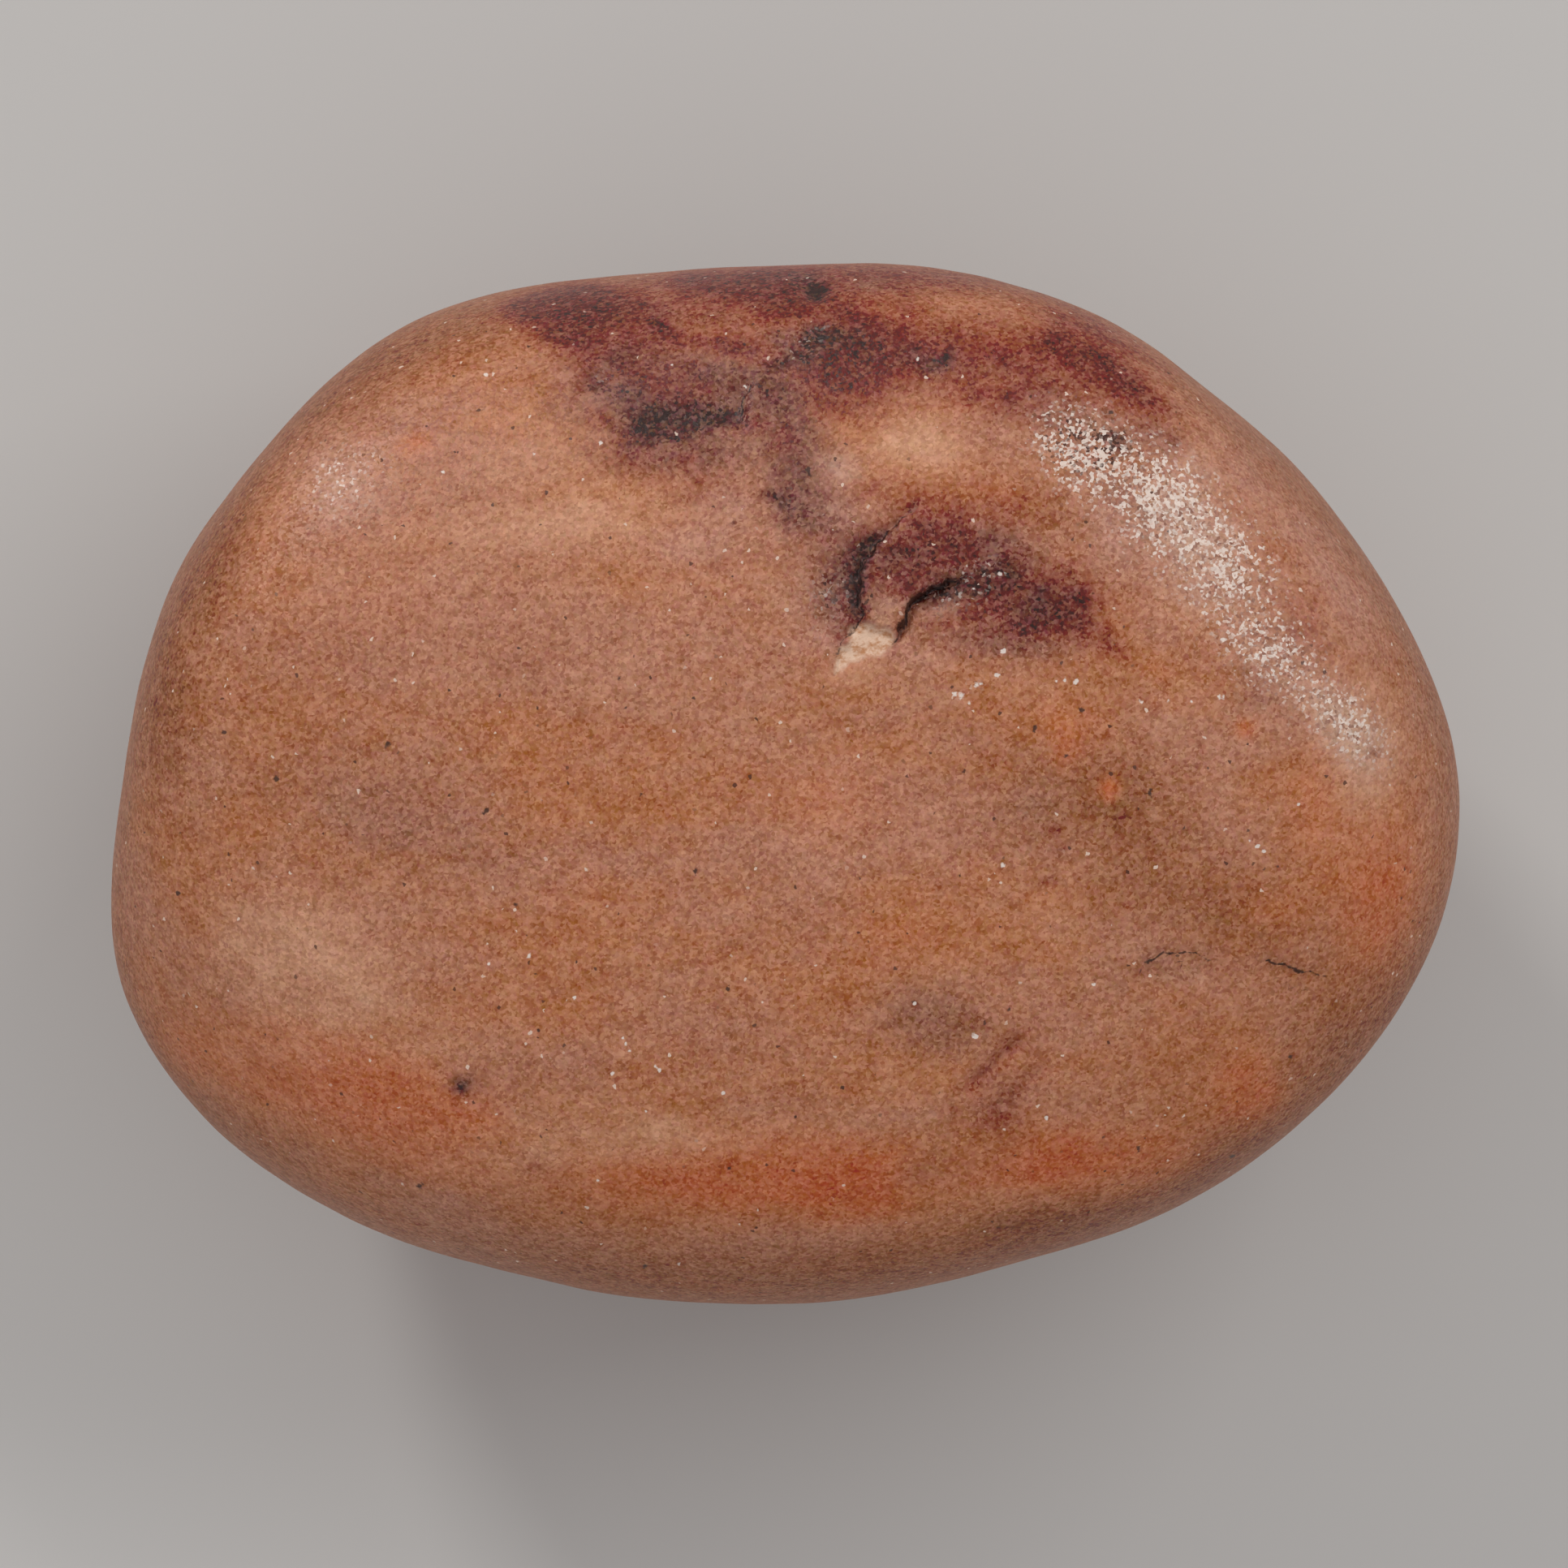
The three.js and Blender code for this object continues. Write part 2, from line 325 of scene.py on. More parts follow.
# %% Cracks: paths and sizes in mm
CRACKS = {
    "tongue, left": dict(
        path=[(6, 12.5), (5.3, 12), (4.8, 11.3), (3.95, 10.7), (3.7, 10.1), (3.4, 9.4),
              (3.3, 8.4), (3.55, 7.5), (3, 6.75), (2.5, 6.1), (2.35, 5.5)],
        lip=0.2, drop=0.34, slot=0.16, width=0.1, reach=1.1, dark=0.07),
    "tongue, right": dict(
        path=[(4.85, 6.1), (5.15, 6.75), (5.35, 7.4), (5.6, 7.95), (6, 8.4), (6.55, 8.8),
              (7.2, 9.1), (8.2, 9.3)],
        lip=0.22, drop=0.45, slot=0.4, width=0.13, reach=1.0, dark=0.13),
    "notch": dict(
        path=[(-1.4, 18.2), (-1.75, 17.6), (-2, 17.2), (-1.85, 16.6), (-1.6, 15.9)],
        lip=0.12, drop=0.3, slot=0.1, width=0.15, reach=0.8, dark=0.04),
    "long crescent": dict(
        path=[(15.7, -9.1), (16.2, -8.1), (16.9, -7.65), (17.4, -7.55), (18.35, -7.55),
              (18.8, -7.8), (19.9, -8)],
        lip=0.05, drop=0.2, slot=0.1, width=0.16, reach=0.7, dark=0.045),
    "short crescent": dict(
        path=[(21.1, -7.85), (22, -8.03), (22.6, -8.15), (23.1, -8.4), (23.8, -8.5), (24.5, -8.9)],
        lip=0.05, drop=0.24, slot=0.12, width=0.16, reach=0.7, dark=0.06),
}
WOBBLE, WOBBLE_WAVE, FIRST_SEED = 0.1, 0.8, 40
SLOT_SHIFT, TAPER = 0.05, 0.6
CRACK_RIM, CRACK_NEAR = 0.05, 0.8
relief = np.zeros(len(skin))
crack_away = np.ones(len(skin))
crack_width = np.full(len(skin), -CRACK_RIM)
for number, (name, crack) in enumerate(CRACKS.items()):
    away, along = beside_path(seen, crack["path"])
    away = away + WOBBLE * ripples(skin, WOBBLE_WAVE, FIRST_SEED + number)
    taper = np.sin(np.pi * np.clip(along, 0, 1)) ** TAPER
    high_side = np.clip(0.5 + away / crack["width"], 0, 1)
    fade = np.exp(-np.abs(away) / crack["reach"])
    step = (high_side * crack["lip"] - (1 - high_side) * crack["drop"]) * fade
    slot = crack["slot"] * np.exp(-((away + SLOT_SHIFT) / crack["width"]) ** 2)
    relief += taper * (step - slot)
    closest = np.abs(away) < np.minimum(np.abs(crack_away), CRACK_NEAR)
    crack_away[closest] = away[closest]
    crack_width[closest] = (crack["dark"] * taper - CRACK_RIM * (1 - taper))[closest]
    print(f"{name}: deepest {relief[np.abs(away) < 0.2].min():.2f} mm")

# %% [markdown]
# The brightest bit of the stone is a fresh chip at the tip of the tongue. Its outline has
# corners, so it is a polygon, and the distance to the polygon's edge gives it a steep wall.

# %% Fresh chip
CHIP_OUTLINE = [(3, 7.1), (3.6, 7.25), (4.2, 7), (4.9, 6.9), (4.9, 6.3), (4.4, 5.85), (3.9, 5.8),
                (3, 5.5), (2.4, 5.05), (2.25, 5.4), (2.5, 6.1), (2.9, 6.3)]
CHIP_DEPTH, CHIP_WALL, CHIP_SHAKE = 0.3, 0.16, 0.05


def inside_outline(seen, outline):
    """Distance from the outline's edge, positive inside. A point is inside when a line from it
    towards +X crosses the edges an odd number of times."""
    closed = outline + outline[:1]
    away, _ = beside_path(seen, closed)
    inside = np.zeros(len(seen), bool)
    for (x0, y0), (x1, y1) in zip(closed, closed[1:]):
        spans = (seen[:, 1] < y0) != (seen[:, 1] < y1)
        crossing = x0 + (seen[:, 1] - y0) * (x1 - x0) / ((y1 - y0) or 1e-9)
        inside ^= spans & (seen[:, 0] < crossing)
    return np.where(inside, np.abs(away), -np.abs(away))


chip_edge = inside_outline(seen, CHIP_OUTLINE) + CHIP_SHAKE * ripples(skin, 0.6, 50)
chip = np.clip(0.5 + chip_edge / CHIP_WALL, 0, 1)
relief -= chip * (CHIP_DEPTH + CHIP_SHAKE * ripples(skin, 0.9, 51))
print("chip covers", int((chip > 0.5).sum()), "points")

# %% [markdown]
# Pits, hollows and furrows are all one shape, a soft dent: long, wide and deep as given. Some are
# turned from +X by a last number, in degrees. A pit is a tenth or two of a millimetre deep.

# %% Dents: x, y, half length, half width, depth, turn
DENTS = [
    (3, 9.2, 2.3, 0.7, 0.16, 84), (9, 8.4, 3.4, 1.5, 0.26, -16), (6.6, 8, 0.9, 0.6, 0.16, 30),
    (2.1, 8.5, 1.2, 1.6, 0.1), (-2.2, 17, 0.5, 1.1, 0.14), (-4.4, 16.4, 2.6, 0.7, 0.16, 4),
    (-8.3, 18.2, 0.6, 0.5, 0.12), (0.8, 19.7, 1.8, 0.6, 0.2, 40), (1.4, 22.1, 0.5, 0.4, 0.35),
    (6.4, 19, 1.1, 0.35, 0.1, -4), (0, 12.6, 0.4, 0.5, 0.08), (17.6, -8.3, 1.9, 0.6, 0.12),
    (22.8, -9, 1.5, 0.5, 0.12, -12), (9.5, -12.4, 1.6, 0.26, 0.24, 42),
    (11.3, -13, 0.8, 0.24, 0.18, 32), (10.2, -11.6, 0.6, 0.22, 0.12, 65),
    (12.3, -2.1, 0.55, 0.28, 0.16, 10), (12.5, -3.15, 0.6, 0.28, 0.18, -8),
    (11.9, -4.5, 0.7, 0.25, 0.1, 20), (9.1, -0.2, 0.4, 0.2, 0.12, -20),
    (11.2, 0.2, 0.6, 0.18, 0.08, 12), (9, -2.6, 0.5, 0.25, 0.07), (26.5, 1.3, 0.22, 0.2, 0.12),
    (-17.7, -5.5, 0.25, 0.15, 0.1), (-17.6, -4.4, 0.2, 0.5, 0.06, 10),
    (-14.55, -13.6, 0.2, 0.15, 0.1, 60), (15.6, -11.3, 0.4, 1.5, 0.07),
    (13.6, -8.4, 0.4, 0.3, 0.06), (10, 4.6, 2.2, 0.25, 0.05, 20), (16, 4.1, 4, 0.25, 0.04, -4),
]


def over_spot(seen, x, y, long, wide, turn=0):
    """Bell curve over an ellipse in the photo: 1 in its middle and exp(-1) at its half sizes."""
    turn = math.radians(turn)
    right, back = seen[:, 0] - x, seen[:, 1] - y
    ahead = (right * math.cos(turn) + back * math.sin(turn)) / long
    beside = (back * math.cos(turn) - right * math.sin(turn)) / wide
    return np.exp(-ahead ** 2 - beside ** 2)


for x, y, long, wide, depth, *turn in DENTS:
    relief -= depth * over_spot(seen, x, y, long, wide, *turn)
print("lowest relief", round(float(relief.min()), 2), "mm")

# %% [markdown]
# Colour comes next, because the stained places are also the rough ones. Each family of stains is
# a list of soft spots, written as the dents are. Where a family lies is kept in the mesh as one
# number per point, and the material breaks its edges up with noise. Spots on the seen side are
# placed by x and y. Those on the other side, which no photo shows, are placed by the way they
# face, in degrees round and up, and are a guess in the same style.

# %% Stains: x, y, half length, half width, strength, turn
RED = [
    (-11.7, 21.3, 1.09, 0.71, 0.81), (-11, 21.7, 1.56, 0.62, 0.51, 15),
    (-9.9, 21.8, 1.4, 0.71, 0.59), (-9.2, 22, 1.56, 0.62, 0.77), (-8.4, 21.9, 0.94, 0.54, 0.77),
    (-9.3, 21.3, 2.5, 0.78, 0.64), (-8.7, 20.85, 1.25, 0.54, 0.81),
    (-10.2, 21.1, 1.56, 0.62, 0.47), (-10.3, 20.15, 0.94, 0.47, 0.81, 5),
    (-9.4, 19.9, 0.94, 0.54, 0.81, 10), (-8.6, 19.9, 0.94, 0.62, 0.51),
    (-7.6, 21.3, 1.25, 0.94, 0.42), (-7, 20.5, 1.4, 1.09, 0.38),
    (-6.4, 21.6, 0.71, 0.47, 0.68, -20), (-5.6, 20.6, 0.78, 0.4, 0.77, -35),
    (-4.8, 20.1, 1.4, 0.47, 0.55, -15), (-5.9, 19.5, 1.25, 1.25, 0.42),
    (-8.9, 19.1, 0.78, 1.09, 0.42, 20), (-9, 18.6, 0.62, 0.94, 0.34),
    (-7.7, 18.3, 0.54, 0.4, 0.72), (-6, 18.35, 1.25, 0.54, 0.51), (-4.9, 18.6, 1.25, 0.62, 0.3),
    (-4.8, 17.7, 0.94, 0.47, 0.51, 10), (-5.6, 17.4, 0.78, 0.47, 0.51, 15),
    (-3.3, 17.6, 0.78, 0.31, 0.47), (-3.8, 17.4, 0.62, 0.4, 0.34),
    (-3, 19.8, 1.25, 0.4, 0.59, -5), (-1.9, 19.6, 1.09, 0.54, 0.68, -10),
    (-1.3, 19.3, 0.78, 0.4, 0.51), (-2.5, 19.3, 1.87, 0.62, 0.38),
    (-8.3, 16.35, 0.62, 0.47, 0.68), (-7.05, 15, 0.94, 0.54, 0.77, -25),
    (-6.5, 14.7, 0.54, 0.31, 0.64), (-4.3, 14.65, 0.47, 0.4, 0.68),
    (-1.6, 16, 0.86, 0.4, 0.68, 10), (-2, 16.3, 0.47, 0.62, 0.42), (-4.4, 22.6, 1.09, 0.62, 0.77),
    (-3.6, 22.5, 1.25, 0.78, 0.72), (-1.6, 22.6, 1.87, 0.78, 0.81),
    (-0.4, 22.5, 1.56, 0.94, 0.81), (0.9, 22.3, 1.87, 1.25, 0.81), (2, 22.1, 0.78, 0.94, 0.59),
    (-3, 22.1, 1.87, 0.78, 0.47), (-0.2, 21.5, 1.4, 0.54, 0.68), (-0.8, 21, 0.94, 0.54, 0.55),
    (-1.6, 21.8, 1.25, 0.47, 0.42), (-4.6, 21.6, 0.78, 0.62, 0.42), (0.6, 21.2, 1.25, 0.78, 0.51),
    (2.6, 21.2, 1.09, 0.54, 0.72, 30), (3.6, 20.6, 1.09, 0.78, 0.77),
    (4.2, 20.2, 1.4, 0.78, 0.51), (2.2, 18.6, 1.87, 0.94, 0.81), (3.4, 19, 1.56, 1.25, 0.81),
    (4.5, 18.9, 1.4, 0.78, 0.77), (5.5, 19.3, 0.78, 0.62, 0.72), (1.2, 18.8, 1.09, 0.78, 0.68),
    (2.6, 17.9, 1.4, 0.54, 0.64), (1.8, 17.3, 0.94, 0.78, 0.42), (2.6, 16.9, 1.56, 0.47, 0.38),
    (3.9, 17.3, 1.25, 0.78, 0.34), (3.6, 16.3, 2.18, 0.62, 0.26, -5),
    (4.8, 19.8, 1.87, 0.78, 0.47), (5.5, 21.4, 0.62, 0.4, 0.51), (5.6, 20.5, 0.94, 0.78, 0.34),
    (5.4, 22.8, 0.78, 0.31, 0.51), (7.6, 22.3, 0.62, 0.31, 0.42), (6.2, 18.9, 1.09, 0.62, 0.51),
    (8.2, 19.4, 1.4, 0.62, 0.42), (9.8, 18.9, 0.62, 0.47, 0.68), (9.4, 19.4, 1.25, 0.47, 0.47),
    (8.6, 17.3, 1.09, 0.54, 0.55, 10), (8.3, 17.9, 0.78, 0.62, 0.34),
    (10.2, 17.4, 0.62, 0.78, 0.64, -30), (10, 17, 0.94, 0.47, 0.42),
    (10.9, 18.8, 1.56, 1.25, 0.38), (12.1, 20.1, 0.62, 0.47, 0.64), (-10.5, 20.8, 2, 1.2, 0.35),
    (-7.5, 21.6, 2, 0.8, 0.3), (12.5, 20.8, 0.62, 0.47, 0.51), (11.2, 19.8, 0.62, 0.4, 0.51),
    (13, 19.4, 1.87, 0.78, 0.72, -25), (14.5, 18.7, 1.87, 0.94, 0.72, -35),
    (15.6, 17.8, 1.25, 0.78, 0.77, -40), (16.6, 17, 1.25, 0.62, 0.51, -30),
    (12.5, 18.4, 2.18, 1.4, 0.34, -20), (11.3, 17.3, 0.78, 0.62, 0.34),
    (10.9, 16, 0.47, 0.24, 0.51, -20), (0.1, 15.7, 0.47, 0.54, 0.55),
    (-0.2, 15.1, 0.78, 0.47, 0.47), (3.9, 13.3, 1.09, 0.4, 0.51, 20),
    (-3.7, 13.3, 0.78, 0.94, 0.34), (-5.2, 13.6, 1.87, 0.78, 0.26),
    (-2.4, 13.8, 1.56, 0.62, 0.26), (9.6, 12.4, 0.94, 0.47, 0.42, -20),
    (11, 12.6, 2.5, 1.09, 0.3), (1.5, 11, 1.25, 0.47, 0.42), (5.8, 12.5, 0.62, 0.4, 0.81, 30),
    (5.8, 11.6, 0.62, 0.54, 0.64), (6.6, 11.6, 0.62, 0.62, 0.72), (7.6, 11.4, 0.78, 1.25, 0.72),
    (6.8, 10.7, 1.25, 0.78, 0.77), (7.9, 10.3, 1.09, 0.62, 0.68), (5.9, 10.2, 0.94, 1.09, 0.77),
    (5.1, 10.4, 0.62, 0.78, 0.68), (5.5, 9.2, 0.94, 0.78, 0.68), (4.4, 9.7, 0.62, 0.78, 0.59),
    (5.2, 8.8, 0.78, 0.47, 0.51), (3.9, 11, 0.78, 0.78, 0.51, 45), (8, 12.2, 0.47, 0.62, 0.42),
    (10.2, 10.2, 0.78, 0.47, 0.51), (10.2, 9.2, 0.78, 0.62, 0.72), (9.2, 8.6, 1.09, 0.78, 0.68),
    (11.5, 8.5, 1.25, 0.94, 0.81), (12.3, 7.9, 1.56, 0.94, 0.81), (13.3, 8.3, 0.78, 1.09, 0.81),
    (10.6, 7.5, 1.09, 0.78, 0.77), (11, 7, 1.25, 0.4, 0.72), (12.7, 7, 1.25, 0.4, 0.68),
    (8.8, 7.6, 0.78, 0.62, 0.51), (8.6, 6.8, 0.78, 0.62, 0.38), (7.5, 7.3, 0.78, 0.47, 0.42),
    (14.5, 6.6, 1.25, 0.47, 0.51, -35), (14.8, 5.9, 0.62, 0.47, 0.38),
    (12.6, 9.7, 0.78, 0.78, 0.42, -40), (2.6, 6.8, 0.78, 0.47, 0.59, 20),
    (3.1, 7.6, 0.62, 0.62, 0.59), (2.8, 8.2, 0.47, 0.47, 0.51), (5.2, 6.8, 0.31, 0.62, 0.68),
    (3.4, 9, 0.47, 1.4, 0.51), (23.4, 6.8, 1.25, 1.09, 0.38), (22.7, 8.2, 1.09, 0.94, 0.3),
    (26.5, 1.3, 0.47, 0.4, 0.51), (9.6, -14.6, 2.03, 1.56, 0.34), (9, -2.3, 1.4, 0.94, 0.26),
    (9.1, -0.2, 0.94, 0.4, 0.34, -20), (9.6, -12.4, 2.5, 0.47, 0.59, 42),
    (10.4, -11.5, 0.78, 0.62, 0.38), (11.3, -13, 1.25, 0.47, 0.38, 32),
    (-14.4, -14, 1.09, 1.25, 0.34), (-17.7, -5.5, 0.62, 0.4, 0.42), (12.1, -1.9, 0.35, 0.22, 0.7),
    (12.5, -3.1, 0.4, 0.2, 0.75), (11.9, -4.3, 0.7, 0.18, 0.5, 10), (9.3, -0.3, 0.7, 0.14, 0.5),
    (9.5, -14.8, 1.4, 1.1, 0.4), (-11.2, -17.2, 0.5, 0.4, 0.5), (12.2, -2, 0.6, 0.35, 0.5),
    (12.4, -3.1, 0.6, 0.35, 0.5), (11.8, -4.4, 0.8, 0.35, 0.4, 10),
]
PURPLE = [
    (-8.5, 18.1, 0.48, 0.48, 0.59), (-8.2, 17.75, 0.69, 0.28, 0.51),
    (-7.1, 17.6, 0.48, 0.41, 0.59, -20), (-6.4, 17.2, 0.97, 0.55, 0.38, -10),
    (-5.6, 16.55, 1.24, 0.41, 0.81, -10), (-6.4, 16.2, 0.83, 0.55, 0.81),
    (-6.1, 15.9, 0.97, 0.41, 0.68), (-4.6, 16.6, 1.1, 0.41, 0.68),
    (-4.2, 16.25, 0.83, 0.34, 0.81, -10), (-3.6, 16.15, 0.83, 0.34, 0.77),
    (-3, 16.6, 0.83, 0.48, 0.77), (-2.3, 16.4, 0.55, 0.41, 0.68), (-2, 16.9, 0.34, 0.41, 0.59),
    (-5.4, 15.7, 1.1, 0.34, 0.59), (-4.8, 15.65, 0.69, 0.28, 0.68), (-6.3, 15.3, 1.1, 0.41, 0.51),
    (-6.9, 15.1, 0.41, 0.28, 0.34), (-5, 17.1, 1.66, 0.55, 0.42), (-3.7, 17, 0.83, 0.28, 0.38),
    (-10, 20.05, 1.24, 0.34, 0.2, -8), (-5.7, 21, 0.69, 0.41, 0.34, -50),
    (-5.6, 20.5, 0.69, 0.28, 0.34, -35), (-0.2, 18.8, 0.69, 0.34, 0.72),
    (0.7, 19.1, 0.97, 0.41, 0.72), (1.3, 19.8, 0.55, 0.83, 0.68),
    (1.2, 20.15, 0.83, 0.34, 0.64, 20), (2.2, 20.2, 1.1, 0.55, 0.72),
    (2.4, 19.6, 1.24, 0.55, 0.51), (3.3, 19.7, 0.69, 0.55, 0.47), (0.3, 19.5, 0.41, 0.28, 0.59),
    (0.9, 22.7, 0.97, 0.41, 0.64), (1.45, 22.2, 0.55, 0.3, 0.85), (1.45, 22.2, 0.55, 0.3, 0.77),
    (0.4, 17.4, 1.38, 1.1, 0.21), (5.9, 19.5, 0.62, 0.41, 0.51), (6.6, 18.7, 0.97, 0.41, 0.72, 5),
    (7.3, 19.1, 0.69, 0.41, 0.68, 40), (6.5, 19.1, 0.69, 0.28, 0.42),
    (0.2, 14.3, 0.69, 0.55, 0.34), (1, 14, 0.48, 0.28, 0.47), (-0.5, 13, 0.62, 0.41, 0.51),
    (0, 12.6, 0.69, 0.55, 0.55), (0.8, 12.2, 0.97, 0.69, 0.34), (0.05, 11.6, 0.55, 0.41, 0.42),
    (1.9, 14.8, 0.41, 0.28, 0.34), (-2.1, 11.6, 0.55, 0.16, 0.68, -45),
    (3.9, 10.9, 0.69, 0.48, 0.77, 60), (3.6, 10.3, 0.48, 0.69, 0.68),
    (3.4, 9.2, 0.34, 0.97, 0.64), (3.2, 8, 0.41, 0.83, 0.59), (4.6, 11.3, 0.83, 0.28, 0.59, 35),
    (5.2, 10.4, 0.69, 0.41, 0.51), (4.6, 10, 0.55, 0.97, 0.42), (6.2, 10, 0.83, 0.69, 0.34),
    (6.9, 8.7, 1.66, 0.41, 0.68, 15), (7.3, 8.3, 0.97, 0.28, 0.51), (8.3, 8.8, 1.1, 0.55, 0.51),
    (9.2, 9.6, 0.83, 0.41, 0.59, 10), (9.8, 10, 0.55, 0.41, 0.51), (10.3, 9.4, 0.55, 0.55, 0.59),
    (9.4, 8.8, 1.1, 0.48, 0.59), (11.5, 8.6, 0.55, 0.62, 0.72), (12.3, 7.6, 1.24, 0.55, 0.51),
    (10.8, 7.9, 1.24, 0.55, 0.51), (11, 7.1, 0.83, 0.41, 0.42), (13, 8.6, 0.69, 0.41, 0.42),
    (8.9, 10.8, 1.24, 0.69, 0.3), (14.9, 15.4, 0.48, 0.62, 0.59, 20),
    (14.2, 14.4, 0.48, 0.41, 0.51), (14.5, 15.6, 0.55, 0.28, 0.51), (15.2, 15, 0.41, 0.41, 0.51),
    (13, 15.6, 0.55, 0.28, 0.38), (11.8, 16.4, 0.48, 0.41, 0.47), (12.8, 16.4, 0.55, 0.34, 0.38),
    (17.5, 15.3, 0.69, 0.55, 0.42, 20), (15, 13, 0.69, 0.83, 0.3), (17.6, 16.8, 0.55, 0.41, 0.42),
    (21.3, 3.7, 0.97, 0.55, 0.34), (21, 5.1, 0.69, 0.28, 0.3), (-14.5, -13.5, 0.69, 0.48, 0.47),
    (9.7, -13.3, 1.38, 0.83, 0.26), (3.2, 10, 0.57, 1.15, 0.51), (3.1, 8.6, 0.57, 1.15, 0.51),
    (-14.5, -13.6, 0.24, 0.28, 0.95), (-14.2, -13.4, 0.9, 0.7, 0.25),
    (10.2, -14, 1.6, 0.4, 0.25, 20),
]
DUSK = [
    (-5, 16.6, 4.4, 2.2, 0.85, -5), (-7.4, 18.6, 2.2, 1.6, 0.75), (-3.5, 18.4, 3.4, 1.3, 0.75),
    (-0.4, 17.6, 1.8, 1.4, 0.8), (0.6, 15.6, 1.6, 1.6, 0.65), (0.6, 13.4, 1.8, 1.8, 0.7),
    (1.2, 11.8, 1.6, 1.2, 0.55), (-4.5, 14.6, 3.6, 0.9, 0.5), (-5.5, 21.2, 1, 0.9, 0.6, -30),
    (-7, 19.6, 1.6, 1, 0.55), (-0.2, 20, 0.9, 0.7, 0.6), (1.2, 20.6, 1, 0.5, 0.5, 10),
    (6.2, 9.6, 3.6, 2.4, 0.7, 10), (2.2, 8.8, 1.6, 2.4, 0.6), (10.6, 8.2, 3.4, 2, 0.7, -10),
    (9.6, 10.6, 2.4, 1.2, 0.6, -15), (9.8, 6.4, 3.6, 1, 0.55, -5), (7.5, 18.9, 1.6, 0.8, 0.4),
    (11.4, 17.6, 1.6, 1.4, 0.5, -20), (14, 16.2, 2.4, 1.2, 0.5, -30),
    (16.8, 15.6, 1.4, 1.2, 0.45, -30), (3.2, 22.4, 1.6, 0.5, 0.45), (5.2, 22.3, 1.6, 0.4, 0.35),
    (21, 4.4, 1.4, 1.2, 0.35, -30), (-14.4, -13.6, 1, 0.8, 0.35), (-3.6, 12.6, 3, 1, 0.3),
    (15, 12.8, 1, 1, 0.3), (4.6, 9.4, 1, 0.7, 0.1), (3.2, 9.6, 0.8, 1.8, 0.6),
    (3, 7.4, 0.8, 0.9, 0.5),
]
RUST = [
    (8, 19.6, 6, 2.2, 0.8, -10), (-5.5, 20.6, 5, 1.5, 0.65), (3, 18.8, 4.2, 2.2, 0.8),
    (14, 18.2, 3.6, 1.4, 0.8, -35), (7.2, 9.9, 4.2, 3, 0.7, -10), (12.6, 8, 3, 1.7, 0.65),
    (10, 6.6, 4.2, 1.1, 0.35), (4, 22.4, 5, 0.7, 0.6), (-9, 21.2, 2.8, 1.3, 0.7),
    (10, 17, 2, 1.3, 0.5), (6, 12.6, 2.2, 1, 0.5), (-5, 14, 3, 0.9, 0.3),
    (10.4, 12.2, 2.6, 1, 0.35, -20), (14.4, 6.2, 1.6, 0.8, 0.4, -35), (-1.6, 21.8, 2.6, 1, 0.6),
    (-9.4, 19.6, 1.6, 1, 0.5), (2, 22.9, 9, 0.9, 0.8), (14, 20.4, 4, 0.9, 0.8, -30),
    (8, 18.4, 5, 1.6, 0.2, -10), (-9.6, 17.4, 1.8, 1.8, 0.4), (-7.4, 14.8, 2.4, 1, 0.3),
    (17, 15.6, 1.6, 0.8, 0.4, -40), (-2, 22.6, 6, 0.7, 0.6), (0, 20, 1.4, 0.6, 0.4),
    (-8.4, 18.4, 1.2, 1, 0.4), (-9.4, 21, 2.4, 1, 0.5, 10),
]
# Brown is partly the stone's own brown stain and partly painted shade along the rim, where little
# light reaches.
BROWN_AND_RIM_SHADE = [
    (14.6, -0.6, 3.8, 3.2, 0.75), (17.4, -3.4, 3, 2.4, 0.4), (11, -19.8, 3, 1.4, 0.5, 10),
    (20.6, -6, 4, 2.4, 0.65), (26, -10, 4, 3.6, 0.6, 45), (20.6, -16, 4.4, 2.6, 0.6, 35),
    (-8, -21.6, 8, 1.6, 0.4, -4), (4, -21.6, 8, 1.6, 0.5, 4), (13.6, -19.6, 5, 1.6, 0.5, 14),
    (10, 0.5, 2.6, 2.2, 0.35), (14.6, 4.8, 3.4, 1.6, 0.35), (14.8, -5, 2.4, 2, 0.35),
    (-25, 5, 4, 5, 0.3), (-21, 1.6, 4, 3, 0.25), (10, 13.6, 2, 0.8, 0.3, -20),
    (-11.4, 5.4, 3, 2.2, 0.2), (4, -11.6, 3, 2.6, 0.2), (10.6, -16, 2.4, 1.4, 0.3),
    (-19, 18, 5, 2, 0.5, 30), (-25.5, 10, 2, 4, 0.6, -20), (-27.5, 3, 1.6, 5, 0.6),
    (10, 22.6, 6, 1, 0.8, -12), (-12, 20.6, 4, 1.2, 0.5, 25), (-7.4, 14.2, 2.4, 1, 0.35),
    (12, 12.4, 1.6, 1.2, 0.4), (16.6, 16.2, 1.8, 1, 0.45, -40), (0, 10.4, 1.4, 1.2, 0.3),
    (-10, 16.4, 1.4, 1.4, 0.35), (-15, 3, 3, 3, 0.2), (9, -16.4, 2.4, 1, 0.3),
    (-8, 14.4, 2, 0.9, 0.3), (10, 12, 2, 1, 0.3, -20), (0, 10, 1.2, 1, 0.3),
    (-10.4, 17.6, 1.2, 1.4, 0.4), (12.4, 12, 1.8, 1, 0.35, -20), (-7.6, 14, 2, 0.8, 0.25),
]
